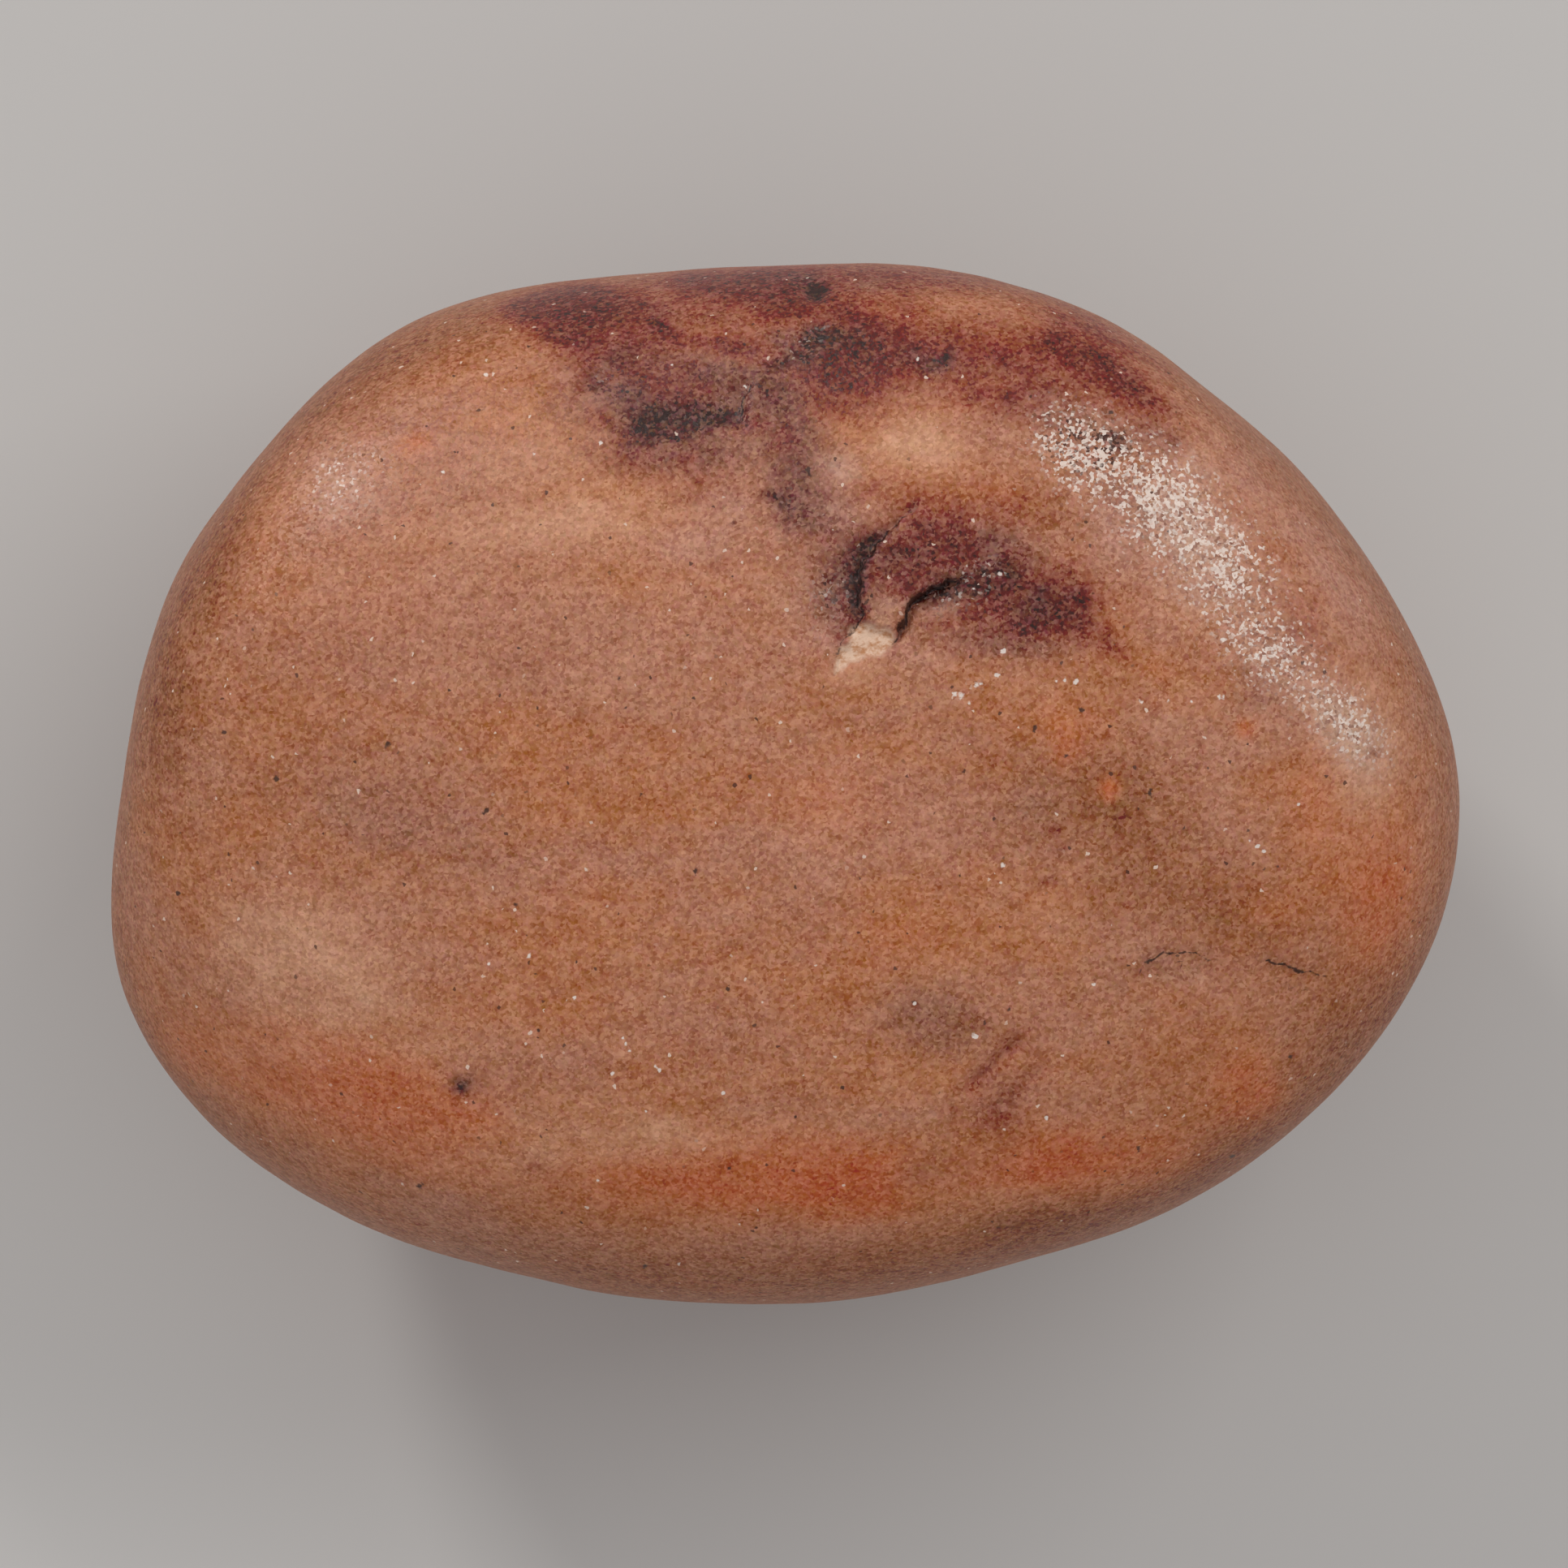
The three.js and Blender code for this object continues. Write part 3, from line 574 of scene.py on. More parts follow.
# Rose is mostly the stone's own pink, and partly a painted sheen: the spots along the right
# shoulder and at the upper left are a pale glow beside the highlights.
ROSE_AND_SHEEN = [
    (-4.2, 10.7, 3.6, 1.7, 0.8, -5), (-2.4, 12.6, 1.5, 1.1, 0.6), (2.2, 13.1, 1.1, 1.5, 0.6),
    (4.6, 13.4, 1.2, 1, 0.35), (15.2, 10.2, 2.8, 1.5, 0.7, -40), (14.6, 12, 1.8, 1, 0.5, -30),
    (17, 6.8, 1.9, 1.1, 0.6, -30), (1.6, 7.6, 1.8, 1.8, 0.35), (5.6, 5.8, 1.8, 0.8, 0.5),
    (12, 15.8, 1.8, 0.9, 0.5), (16.4, 15.6, 1.5, 0.9, 0.5, -40), (9.6, 20.9, 1.6, 0.7, 0.5),
    (0.4, 6.1, 2.6, 0.9, 0.35), (23, 3.9, 1.5, 0.9, 0.5, -40), (-11.4, -16.8, 2.4, 0.9, 0.5),
    (-16, -1, 4, 2, 0.3, -12), (0, 10.4, 1.6, 1.6, 0.4), (-10.5, 10.4, 4, 1.2, 0.35),
    (24.4, 9.6, 7, 1.7, 0.75, -56), (20, 14, 3, 1.4, 0.6, -45), (-13, 11, 6, 2, 0.5, 10),
    (-3, 6, 7, 2.4, 0.45), (4.5, 8, 0.9, 1, 0.6), (2.4, 14.2, 1.6, 1.2, 0.6),
    (18.6, 11.8, 2.4, 1.6, 0.5, -45), (25.4, 3, 3, 2, 0.5, -50), (4.5, 7.8, 0.9, 1.1, 0.6),
    (8.4, 6, 3, 1, 0.5), (13, -4, 3, 1.4, 0.3), (-19, 12, 3, 1.4, 0.4, 20),
    (-15, -8, 3, 1.6, 0.4), (-11, -12, 5, 1.4, 0.4), (2.6, 11.8, 1.2, 1.2, 0.6),
    (-2.4, 16, 1, 0.8, 0.5), (1.8, 12, 1.2, 1, 0.4), (-19, 12, 3, 1.6, 0.4, 20),
    (4, 6.6, 3, 1, 0.4), (-20.6, -7.4, 7, 3.4, 0.6, -10), (-12.6, -13.6, 2.4, 1.6, 0.3),
    (9.6, -16.6, 3, 1.4, 0.3), (-14.8, -1.7, 4, 2, 0.35, -10), (7.8, -10, 2.4, 1.6, 0.4),
    (3.4, 6.4, 1.6, 0.8, 0.3),
]
# Painted highlight: a pale cream laid where the lamps' reflections fall, in a band along the right
# shoulder and a spot at the upper left.
PAINTED_HIGHLIGHT = [
    (16.9, 12.7, 2.8, 1.9, 0.55, -42), (13.2, 14.3, 2.2, 1.3, 0.35, -35),
    (19.3, 9.8, 2.8, 2.1, 0.5, -50), (21.6, 5.8, 2.6, 1.7, 0.5, -40),
    (25, 2.8, 2.8, 1.6, 0.7, -45), (-20, 13.8, 2.6, 2, 0.45, 30), (18.6, 14.6, 2, 1.2, 0.4, -45),
    (2.6, 14.2, 1.6, 1.2, 0.3), (2.4, 14.2, 1.4, 1, 0.35), (18.4, 11.6, 3, 2, 0.35, -48),
    (18.2, 8.2, 1.6, 1, 0.3, -50), (26, 1, 2, 2.6, 0.35), (16.4, 8.4, 1, 0.8, 0.1),
    (14, 16, 1.6, 0.7, 0.4, -30), (2, 12.2, 1, 0.8, 0.3), (-20, 13, 3.4, 2.4, 0.15, 30),
]
ORANGE = [
    (-19.4, -13.6, 4.8, 2.1, 0.65, -4), (-14.4, -15, 2.2, 1.6, 0.5), (-4, -18, 8, 1.9, 0.7, -2),
    (3, -18.2, 3, 1.7, 0.8), (12.4, -16.8, 4.8, 1.8, 0.85, 8), (20.8, -13.6, 2, 2.4, 0.7, 40),
    (21.8, -5.6, 2.4, 1.5, 0.4), (14.6, -0.2, 0.55, 0.6, 0.9), (12.6, 1.5, 0.8, 1.1, 0.5),
    (20.7, 2.5, 0.6, 0.6, 0.7), (16.8, 5.2, 1, 0.7, 0.4, -20), (-16.5, 15.3, 1.1, 0.7, 0.6, 10),
    (1.5, -0.6, 5, 2.4, 0.4, -5), (5, -7, 3.5, 2, 0.35, -10), (13, 2.6, 3, 1.6, 0.4, -10),
    (9.6, 13, 2.2, 1, 0.4, -20), (-18, 8, 4, 2.5, 0.25, 15), (17, -17, 3, 1.2, 0.4, 30),
    (-8, -5, 4, 2, 0.25, -5), (27, -5, 2, 4, 0.35), (-27, -12, 2.5, 2.5, 0.35),
    (-23, -12, 3, 2, 0.6), (-15, -16.6, 3.4, 1.3, 0.6), (-1, -16.6, 6, 1.5, 0.5),
    (-9, 17.6, 1.6, 1, 0.3), (8, 16.9, 2.4, 1, 0.3), (26.4, -4, 2.5, 6, 0.55),
    (24.6, -1, 2, 3, 0.5), (-21, -12, 4, 1.6, 0.4), (-1, -16, 4, 1, 0.3),
    (-22, -12.6, 5, 2, 0.5, -8), (-17, -15.6, 5, 1.8, 0.45, -8), (-19, -13, 3, 1.2, 0.4, -8),
    (25, 0, 2, 3, 0.4), (2, -17, 5, 1.4, 0.3),
]
GREY = [
    (-2.9, 20.9, 1.7, 0.7, 0.8), (-7.3, 22.3, 1, 0.3, 0.6), (-3.4, 15.5, 1.4, 0.5, 0.6),
    (-1.2, 15.4, 0.9, 0.6, 0.6), (2.2, 14, 1, 1, 0.5), (2.6, 12.6, 1, 1, 0.5),
    (-16.4, -1.4, 4.4, 2.4, 0.45, -12), (-19, 5.5, 3, 2, 0.35), (11, -2, 2.6, 2.4, 0.5),
    (7, -10.4, 3, 1.4, 0.75, -18), (-8.6, -13.2, 3.6, 1.8, 0.35, -14),
    (-13.8, -12.8, 1.4, 1.1, 0.3), (1.4, 8.6, 1.3, 1.7, 0.6), (14.5, -8.6, 3, 1.4, 0.35),
    (17.6, -8.5, 2, 0.6, 0.45), (22.7, -9.2, 1.6, 0.5, 0.45), (10.4, 6, 3, 0.8, 0.3, -10),
    (15.6, -12, 1, 3, 0.4), (6, -17.6, 1.8, 0.8, 0.45), (-24, 6, 2.4, 2, 0.25),
    (18, -2, 3, 3, 0.25), (-9.7, -21, 2, 0.6, 0.3), (-14.6, -2.8, 5, 1, 0.3, -20),
    (-12, 5, 2.2, 1.6, 0.3), (-18, -1.6, 5, 3.4, 0.5), (-23, 0, 2.4, 2.4, 0.35),
    (11.6, 0.4, 2.4, 2, 0.3), (7, -10.4, 2.6, 1.5, 0.7, -18), (6.6, -11.6, 1.8, 1.2, 0.5),
    (17.6, -8.6, 2.4, 0.5, 0.4), (6.8, -16.4, 1.6, 1.2, 0.4),
]
PALE = [
    (6.2, 15.9, 2.2, 1.4, 0.7, -15), (-21.6, -7.8, 5.4, 3.2, 0.75, -8),
    (3.4, 5, 1.8, 0.5, 0.8, 10), (7, 5.6, 1.2, 0.4, 0.5, -20), (12.3, -6.3, 1.5, 0.9, 0.45),
    (-5.6, -15.6, 2.6, 1, 0.4), (7, -8.7, 1.8, 0.7, 0.35), (-1.5, 17.1, 0.35, 0.5, 0.9),
    (22.7, -8.15, 0.35, 0.16, 0.9), (-12, 20.4, 1.2, 0.7, 0.5), (-11, 14.6, 3.5, 2.5, 0.5),
    (-8, 12.2, 4.5, 1.8, 0.5), (4.6, 15, 1.8, 1.2, 0.55), (7, 14.6, 1.6, 1, 0.5),
    (9.5, 20.8, 2.4, 0.8, 0.5, -5), (7.2, 21.4, 1.4, 0.8, 0.45), (4.4, 7.6, 0.5, 0.5, 0.8),
    (5, 8, 0.4, 0.5, 0.6), (16, -14.3, 0.6, 0.4, 0.8, 40), (-18.7, -9.7, 0.35, 0.3, 0.9),
    (24.4, 3.2, 2.4, 0.9, 0.4, -30), (-17, 17.6, 4, 1, 0.2, 30), (14.6, -15.6, 3, 0.8, 0.35, 10),
    (9.2, -18.6, 2, 0.7, 0.4), (13.6, -9, 0.4, 0.16, 0.6), (-8.6, 9.4, 5, 1.8, 0.4),
    (26, 1, 2.6, 4, 0.9), (-6, -16, 7, 1.6, 0.4), (-18, -11, 6, 2, 0.5), (1.6, 8.6, 2, 1.4, 0.4),
    (-13, -16.4, 4, 1.4, 0.5, -10), (-11.8, -15, 0.5, 0.3, 0.5), (-24, -12, 3, 2, 0.5),
    (0, -16, 6, 1.6, 0.35), (-12, 11.6, 6, 1.8, 0.45, 10), (-5, 5, 8, 2.6, 0.2),
    (-20, -14, 5, 2, 0.3), (-15, -17, 3, 1.2, 0.4, -10), (7, -12.8, 4, 1.6, 0.25),
    (4.6, 7.8, 0.7, 0.9, 0.5), (-2.4, 16, 0.9, 0.7, 0.4), (18.4, 7.8, 1.6, 1.2, 0.4),
    (14, 15.9, 1.4, 0.6, 0.4, -30), (-8, -14.5, 3, 2, 0.35), (24.9, -3.1, 2, 2.4, 0.3),
    (12, -6.5, 3, 2, 0.3), (-24, -6.6, 3, 2.4, 0.35),
]
# Sugary places are partly real broken grains and partly painted glints: the spots along the right
# shoulder and at the upper left lie where the lamps' highlights fall.
SUGARY_AND_GLINTS = [
    (13.3, 15, 2.3, 1.7, 1, -35), (16.8, 12.8, 3, 2.1, 1, -42), (19.8, 9.8, 2.6, 2.1, 0.8, -50),
    (21.8, 6, 2.6, 1.7, 0.75, -40), (25.2, 2.8, 2.4, 1.3, 0.75, -38),
    (-19.8, 13.6, 2.4, 1.8, 0.4, 30), (7.6, 8.5, 2, 0.9, 0.3, 15), (9, 9.7, 1.2, 0.6, 0.35),
    (1.8, 8.2, 1.4, 1.6, 0.3), (0.9, 19.9, 1.6, 0.5, 0.3, 38), (-8.3, 18.1, 0.9, 0.6, 0.2),
    (-5, 16.6, 2, 0.7, 0.12), (0.5, 12.6, 1.2, 1.4, 0.12), (8.6, 4.3, 1.4, 0.5, 0.3, 30),
    (12, -3, 1, 1.6, 0.12),
]
PEPPER = [
    (13.2, 15.2, 2.2, 1.4, 0.9, -35), (14.6, 15.2, 1.2, 0.9, 0.9), (7.6, 8.5, 2, 0.8, 0.4, 15),
    (1.9, 8.2, 1.3, 1.5, 0.5), (3.3, 9, 0.7, 2, 0.7), (0.9, 19.9, 1.8, 0.6, 0.5, 38),
    (21.6, 5.2, 1.6, 1, 0.35, -40), (16.4, 11.4, 1, 2, 0.35, 40), (20.4, 9, 2, 1.2, 0.35, -50),
    (-8.2, 17.9, 1, 0.7, 0.4), (0.2, 12.6, 0.9, 1.1, 0.3), (9, 9.5, 1.4, 0.6, 0.5),
    (-4.5, 16.4, 2.4, 0.7, 0.3),
]
HIDDEN = {  # degrees round and up, half width, half height, strength
    "red": [(96, -4, 9, 5, 0.6), (70, -18, 5, 3, 0.5), (118, -22, 4, 6, 0.35),
            (330, -30, 6, 4, 0.4), (200, -55, 7, 4, 0.4)],
    "purple": [(88, -10, 4, 3, 0.7), (104, -26, 3, 4, 0.5), (325, -34, 2.5, 2, 0.5),
               (185, -60, 3, 2, 0.5)],
    "dusk": [(90, -12, 8, 6, 0.6), (106, -26, 6, 7, 0.5), (325, -34, 5, 4, 0.4)],
    "rust": [(94, -8, 12, 7, 0.6), (108, -26, 6, 8, 0.5), (326, -32, 7, 6, 0.5),
             (195, -56, 8, 5, 0.4)],
    "brown_and_rim_shade": [(10, -50, 10, 8, 0.4), (240, -40, 10, 8, 0.4)],
    "rose_and_sheen": [(60, -35, 8, 6, 0.5), (250, -75, 9, 6, 0.5), (180, -35, 6, 5, 0.4)],
    "orange": [(230, -20, 9, 6, 0.6), (0, -30, 8, 6, 0.5), (280, -70, 9, 7, 0.5),
               (140, -30, 7, 6, 0.4)],
    "grey": [(170, -20, 8, 6, 0.5), (300, -55, 6, 5, 0.5), (60, -60, 8, 5, 0.5)],
    "pale": [(265, -30, 9, 4, 0.5), (30, -70, 6, 6, 0.4), (150, -65, 6, 5, 0.4)],
    "sugary_and_glints": [(88, -10, 4, 3, 0.5)],
}

# %% [markdown]
# Spots of one family lie over each other like coats of thin paint. Each leaves a share of the
# stone clear, and the family's strength is 1 minus all those shares multiplied.

# %% Strength of each family at every point
FADE_DOWN = 5.0
RIM_LEVEL = 0.45 * HEIGHT
NEARLY_UP = (0.05, 0, 1)


def seen_spot(points, x, y, long, wide, turn=0):
    """A bell curve in x and y times another in depth below the skin at the spot's middle, so that
    the spot wraps a little over the rim and no further."""
    upper = np.where(points[:, 2] > RIM_LEVEL)[0]
    nearest = upper[np.argmin(np.hypot(seen[upper, 0] - x, seen[upper, 1] - y))]
    depth = np.exp(-((points[:, 2] - points[nearest, 2]) / FADE_DOWN) ** 2)
    return depth * over_spot(seen, x, y, long, wide, turn)


def hidden_spot(points, normals, turn, up, wide, tall):
    """A bell curve across the skin around the point that a direction from the middle meets."""
    middle = points - (0, 0, HEIGHT / 2)
    nearest = np.argmax(middle @ looking(turn, up) / np.linalg.norm(middle, axis=1))
    offset = points - points[nearest]
    level = np.cross(NEARLY_UP, normals[nearest])
    level /= np.linalg.norm(level)
    slope = np.cross(normals[nearest], level)
    return np.exp(-(offset @ level / wide) ** 2 - (offset @ slope / tall) ** 2
                  - (offset @ normals[nearest] / wide) ** 2)


families = {"red": RED, "purple": PURPLE, "dusk": DUSK, "rust": RUST, "brown_and_rim_shade": BROWN_AND_RIM_SHADE,
            "rose_and_sheen": ROSE_AND_SHEEN, "orange": ORANGE, "grey": GREY, "pale": PALE, "painted_highlight": PAINTED_HIGHLIGHT,
            "sugary_and_glints": SUGARY_AND_GLINTS, "pepper": PEPPER}
stains = {}
for name, spots in families.items():
    clear = np.ones(len(skin))
    for x, y, long, wide, strength, *turn in spots:
        clear *= 1 - strength * seen_spot(skin, x, y, long, wide, *turn)
    for *where, strength in HIDDEN.get(name, []):
        clear *= 1 - strength * hidden_spot(skin, normals, *where)
    stains[name] = 1 - clear
    print(f"{name}: {len(spots)} seen spots, mean strength {stains[name].mean():.3f}")

# %% [markdown]
# The flanks, where the skin turns to face sideways, are made a little darker and browner than the
# broad face. This is painted shade, for the rim that gets little light. The chip and the cracks go
# into the mesh as numbers too.

# %% Painted shade on the flanks, chip and cracks
FLANK, SHOULDER, FLANK_SHADE = 0.3, 0.8, 0.6
shaded_flank = np.clip((SHOULDER - normals[:, 2]) / (SHOULDER - FLANK), 0, 1)
stains["brown_and_rim_shade"] = 1 - (1 - stains["brown_and_rim_shade"]) * (1 - FLANK_SHADE * shaded_flank)
stains["fresh"] = chip
stains["crack_away"] = crack_away
stains["crack_width"] = np.where(seen_side(skin) > 0.5, crack_width, -CRACK_RIM)
print("brown now has mean strength", round(float(stains["brown_and_rim_shade"].mean()), 3))

# %% [markdown]
# Last come the small heights: the sugary places are rough, because grains have broken out of
# them, and the polished skin has a faint unevenness of a few hundredths of a millimetre.

# %% Final skin
BROKEN_RIPPLES = [(0.03, 0.9, 60), (0.02, 0.55, 61)]  # height and wave in mm, seed
SKIN_RIPPLES = [(0.018, 7, 62), (0.008, 3, 63)]
relief *= seen_side(skin)
relief += stains["sugary_and_glints"] * sum(h * ripples(skin, wave, seed) for h, wave, seed in BROKEN_RIPPLES)
relief += sum(h * ripples(skin, wave, seed) for h, wave, seed in SKIN_RIPPLES)
resting = skin[:, 2] <= low_corner[2] / MM + 1e-6
relief[resting] = 0
final_skin = skin + normals * relief[:, None]
final_skin[:, 2] = np.maximum(final_skin[:, 2], low_corner[2] / MM)
print("relief from", round(float(relief.min()), 2), "to", round(float(relief.max()), 2), "mm")

# %% [markdown]
# The points go into one mesh object, in metres. The object stays at the origin, because its
# place is in its points. Each family of stains becomes a named attribute that the material reads.

# %% Mesh of the stone
def mesh_object(name, points_mm, faces, values):
    """A smooth-shaded mesh object from points in mm, faces, and named numbers for every point."""
    mesh = bpy.data.meshes.new(name)
    mesh.from_pydata((points_mm * MM).tolist(), [], faces.tolist())
    mesh.polygons.foreach_set("use_smooth", np.ones(len(faces), bool))
    for value_name, numbers in values.items():
        attribute = mesh.attributes.new(value_name, "FLOAT", "POINT")
        attribute.data.foreach_set("value", numbers.astype(np.float32))
    mesh.update()
    thing = bpy.data.objects.new(name, mesh)
    bpy.context.scene.collection.objects.link(thing)
    return thing


pebble = mesh_object("quartzite_pebble", final_skin, net_quads, stains)
print(pebble.name, "has", len(pebble.data.polygons), "quads")

# %% [markdown]
# The stone is quartzite: sand grains of quartz grown together, coloured by a little iron.
# Iron rust makes it salmon, orange and red, and iron with manganese makes it purple and black.
# Two helpers do all the work: one turns a colour as seen on a screen into the linear numbers
# that light is added up in, and one adds a node with its settings and links.

# %% Helpers for colour and nodes
def linear(hex_colour):
    """Linear red, green, blue and 1 from an sRGB hex colour: each share c becomes c / 12.92 below
    0.04045, and ((c + 0.055) / 1.055) to the power 2.4 above it."""
    shares = [int(hex_colour[i:i + 2], 16) / 255 for i in (1, 3, 5)]
    return [c / 12.92 if c <= 0.04045 else ((c + 0.055) / 1.055) ** 2.4 for c in shares] + [1]


def add_node(tree, kind, inputs, **settings):
    """Adds a node of a kind. Settings are its own properties. Inputs maps an input's name or number
    to a value, or to another node's output, which is then linked."""
    node = tree.nodes.new(kind)
    for name, value in settings.items():
        setattr(node, name, value)
    for place, value in inputs.items():
        if isinstance(value, bpy.types.NodeSocket):
            tree.links.new(value, node.inputs[place])
        else:
            node.inputs[place].default_value = value
    return node


# Sockets of Blender's Mix node for colours, and a climb with soft ends for its Map Range node
SHARE, UNDER, OVER, MIXED = 0, 6, 7, 2
SOFT = {"interpolation_type": "SMOOTHSTEP"}

# %% [markdown]
# Patterns are laid in millimetres on the stone's own coordinates, so they stay put when it turns.
# The grains of the real stone are 0.2 to 0.3 mm across. That is four pixels of the final picture,
# just wide enough to show, so they are drawn at their true size. The crumbs that break out of
# them are half as wide. Both are cells of a Voronoi pattern, whose colours are random numbers.

# %% Patterns of the quartzite
GRAIN, CRUMB = 0.26, 0.13
WANDER, WANDER_SCALE = 0.12, 5  # mm, per mm
SLANT = -0.6
quartzite = bpy.data.materials.new("worn_quartzite")
quartzite.use_nodes = True
tree = quartzite.node_tree
tree.nodes.clear()
coordinates = add_node(tree, "ShaderNodeTexCoord", {})
in_mm = add_node(tree, "ShaderNodeVectorMath",
                 {0: coordinates.outputs["Object"], "Scale": 1 / MM}, operation="SCALE").outputs[0]
streaked = add_node(tree, "ShaderNodeMapping", {"Vector": in_mm, "Scale": (0.5, 1, 1)}).outputs[0]
aslant = add_node(tree, "ShaderNodeMapping", {"Vector": in_mm, "Rotation": (0, 0, SLANT),
                                              "Scale": (0.7, 1, 1)}).outputs[0]
PATTERNS = {  # place, scale per mm, detail, roughness
    "cloud": (streaked, 0.22, 4, 0.6),
    "blotch": (streaked, 0.6, 5, 0.65),
    "ragged": (aslant, 3, 3, 0.75),
    "mottle": (in_mm, 1.4, 3, 0.65),
    "fine": (in_mm, 4.2, 2, 0.6),
}
pattern = {}
for name, (place, scale, detail, roughness) in PATTERNS.items():
    noise = add_node(tree, "ShaderNodeTexNoise", {"Vector": place, "Scale": scale,
                                                  "Detail": detail, "Roughness": roughness})
    pattern[name] = noise.outputs["Fac"]
unsteady = add_node(tree, "ShaderNodeTexNoise",
                    {"Vector": in_mm, "Scale": WANDER_SCALE, "Detail": 1}).outputs["Color"]
wandering = add_node(tree, "ShaderNodeVectorMath", {0: unsteady, 1: [WANDER] * 3, 2: in_mm},
                     operation="MULTIPLY_ADD").outputs[0]
grains = add_node(tree, "ShaderNodeTexVoronoi",
                  {"Vector": in_mm, "Scale": 1 / GRAIN}).outputs["Color"]
crumbs = add_node(tree, "ShaderNodeTexVoronoi",
                  {"Vector": wandering, "Scale": 1 / CRUMB}).outputs["Color"]
grain_chance = add_node(tree, "ShaderNodeSeparateColor", {0: grains}).outputs
crumb_chance = add_node(tree, "ShaderNodeSeparateColor", {0: crumbs}).outputs
strength = {name: add_node(tree, "ShaderNodeAttribute", {}, attribute_name=name).outputs["Fac"]
            for name in stains}
print(len(tree.nodes), "nodes hold the patterns")

# %% [markdown]
# The unstained stone wanders between a pink tan and an orange tan in soft streaks. The two are
# close to each other, so that the streaks are felt more than seen.

# %% Unstained colour
PINK_TAN, ORANGE_TAN = "#b5795d", "#b5714a"
CLOUD_EDGES = (0.36, 0.64)
towards_orange = add_node(tree, "ShaderNodeMapRange", {
    "Value": pattern["cloud"], "From Min": CLOUD_EDGES[0], "From Max": CLOUD_EDGES[1]}, **SOFT)
colour = add_node(tree, "ShaderNodeMix", {
    SHARE: towards_orange.outputs[0], UNDER: linear(PINK_TAN), OVER: linear(ORANGE_TAN)},
    data_type="RGBA").outputs[MIXED]
print("unstained stone runs from", PINK_TAN, "to", ORANGE_TAN)

# %% [markdown]
# Each stain is laid over the last. Its strength from the mesh is first pushed up and down by
# noise, so that its edge turns ragged where the iron soaked in unevenly between the grains.
# A stain has two tones: thin at its rim, where the grains show through, and deep in its heart.

# %% Stains over the colour
# Not every family here is a stain: the pale cream one is a painted highlight on the lit shoulder,
# the rose one is partly a painted sheen beside it, and the brown one is partly painted shade along
# the rim.
STAINS = [  # name, thin, deep, shaker, push, (start, full), most
    ("brown_and_rim_shade", "#9c5c33", "#834518", "blotch", 1.2, (0.03, 0.95), 0.9),
    ("orange", "#c8703f", "#bc5623", "blotch", 1.2, (0.05, 0.95), 0.9),
    ("grey", "#a06a50", "#8f5a43", "blotch", 1.4, (0.05, 1.0), 0.8),
    ("rose_and_sheen", "#b47a62", "#ba8470", "blotch", 1.2, (0.05, 1.0), 0.8),
    ("pale", "#c78863", "#d09a78", "blotch", 1.2, (0.05, 1.0), 0.85),
    ("rust", "#9a5238", "#782e1a", "blotch", 1.3, (0.03, 0.95), 0.9),
    ("dusk", "#94604f", "#66362f", "ragged", 0.65, (0.03, 0.85), 0.88),
    ("painted_highlight", "#c6937c", "#dab9a4", "ragged", 1.2, (0.05, 0.95), 0.85),
    ("red", "#8c3822", "#66170a", "ragged", 0.55, (0.02, 1.0), 0.92),
    ("purple", "#64302b", "#3e1715", "ragged", 0.65, (0.03, 0.95), 0.92),
]
HEART = (0.25, 1.05)
for name, thin, deep, shaker, push, (start, full), most in STAINS:
    shaken = add_node(tree, "ShaderNodeMath", {0: pattern[shaker], 1: push, 2: 1 - push / 2},
                      operation="MULTIPLY_ADD").outputs[0]
    pushed = add_node(tree, "ShaderNodeMath", {0: shaken, 1: strength[name]},
                      operation="MULTIPLY").outputs[0]
    cover = add_node(tree, "ShaderNodeMapRange", {
        "Value": pushed, "From Min": start, "From Max": full, "To Max": most}, **SOFT)
    heart = add_node(tree, "ShaderNodeMapRange", {
        "Value": pushed, "From Min": HEART[0], "From Max": HEART[1]}, **SOFT)
    tone = add_node(tree, "ShaderNodeMix", {
        SHARE: heart.outputs[0], UNDER: linear(thin), OVER: linear(deep)}, data_type="RGBA")
    colour = add_node(tree, "ShaderNodeMix", {
        SHARE: cover.outputs[0], UNDER: colour, OVER: tone.outputs[MIXED]},
        data_type="RGBA").outputs[MIXED]
print(len(STAINS), "stains laid over one another")

# %% [markdown]
# Every sand grain is a little lighter or darker than its neighbours. Clear quartz lets some white
# light back out, whatever the stain around it, so the change is added and not multiplied:
# it shows as much in the dark stains as in the tan. That fine salt and pepper is what tells the
# eye that this is stone and not clay. A least colour, a deep brown red, keeps the darkest grains
# from turning black.

# %% Light and dark grains
GRAIN_LIGHT = (0.13, 0.09, 0.065)
DARKEST = (0.03, 0.011, 0.008)
GRAIN_SHARES = [
    (crumb_chance[0], 1.35), (grain_chance[0], 0.4), (crumbs, 0.2), (grains, 0.2),
    (pattern["fine"], 0.8), (pattern["mottle"], 1.7), (pattern["blotch"], 1.3),
]
for chance, share in GRAIN_SHARES:
    moved = add_node(tree, "ShaderNodeVectorMath",
                     {0: chance, 1: [share] * 3, 2: [-share / 2] * 3},
                     operation="MULTIPLY_ADD").outputs[0]
    colour = add_node(tree, "ShaderNodeVectorMath", {0: moved, 1: GRAIN_LIGHT, 2: colour},
                      operation="MULTIPLY_ADD").outputs[0]
colour = add_node(tree, "ShaderNodeVectorMath", {0: colour, 1: DARKEST},
                  operation="MAXIMUM").outputs[0]
print(len(GRAIN_SHARES), "random patterns lighten and darken the grains")

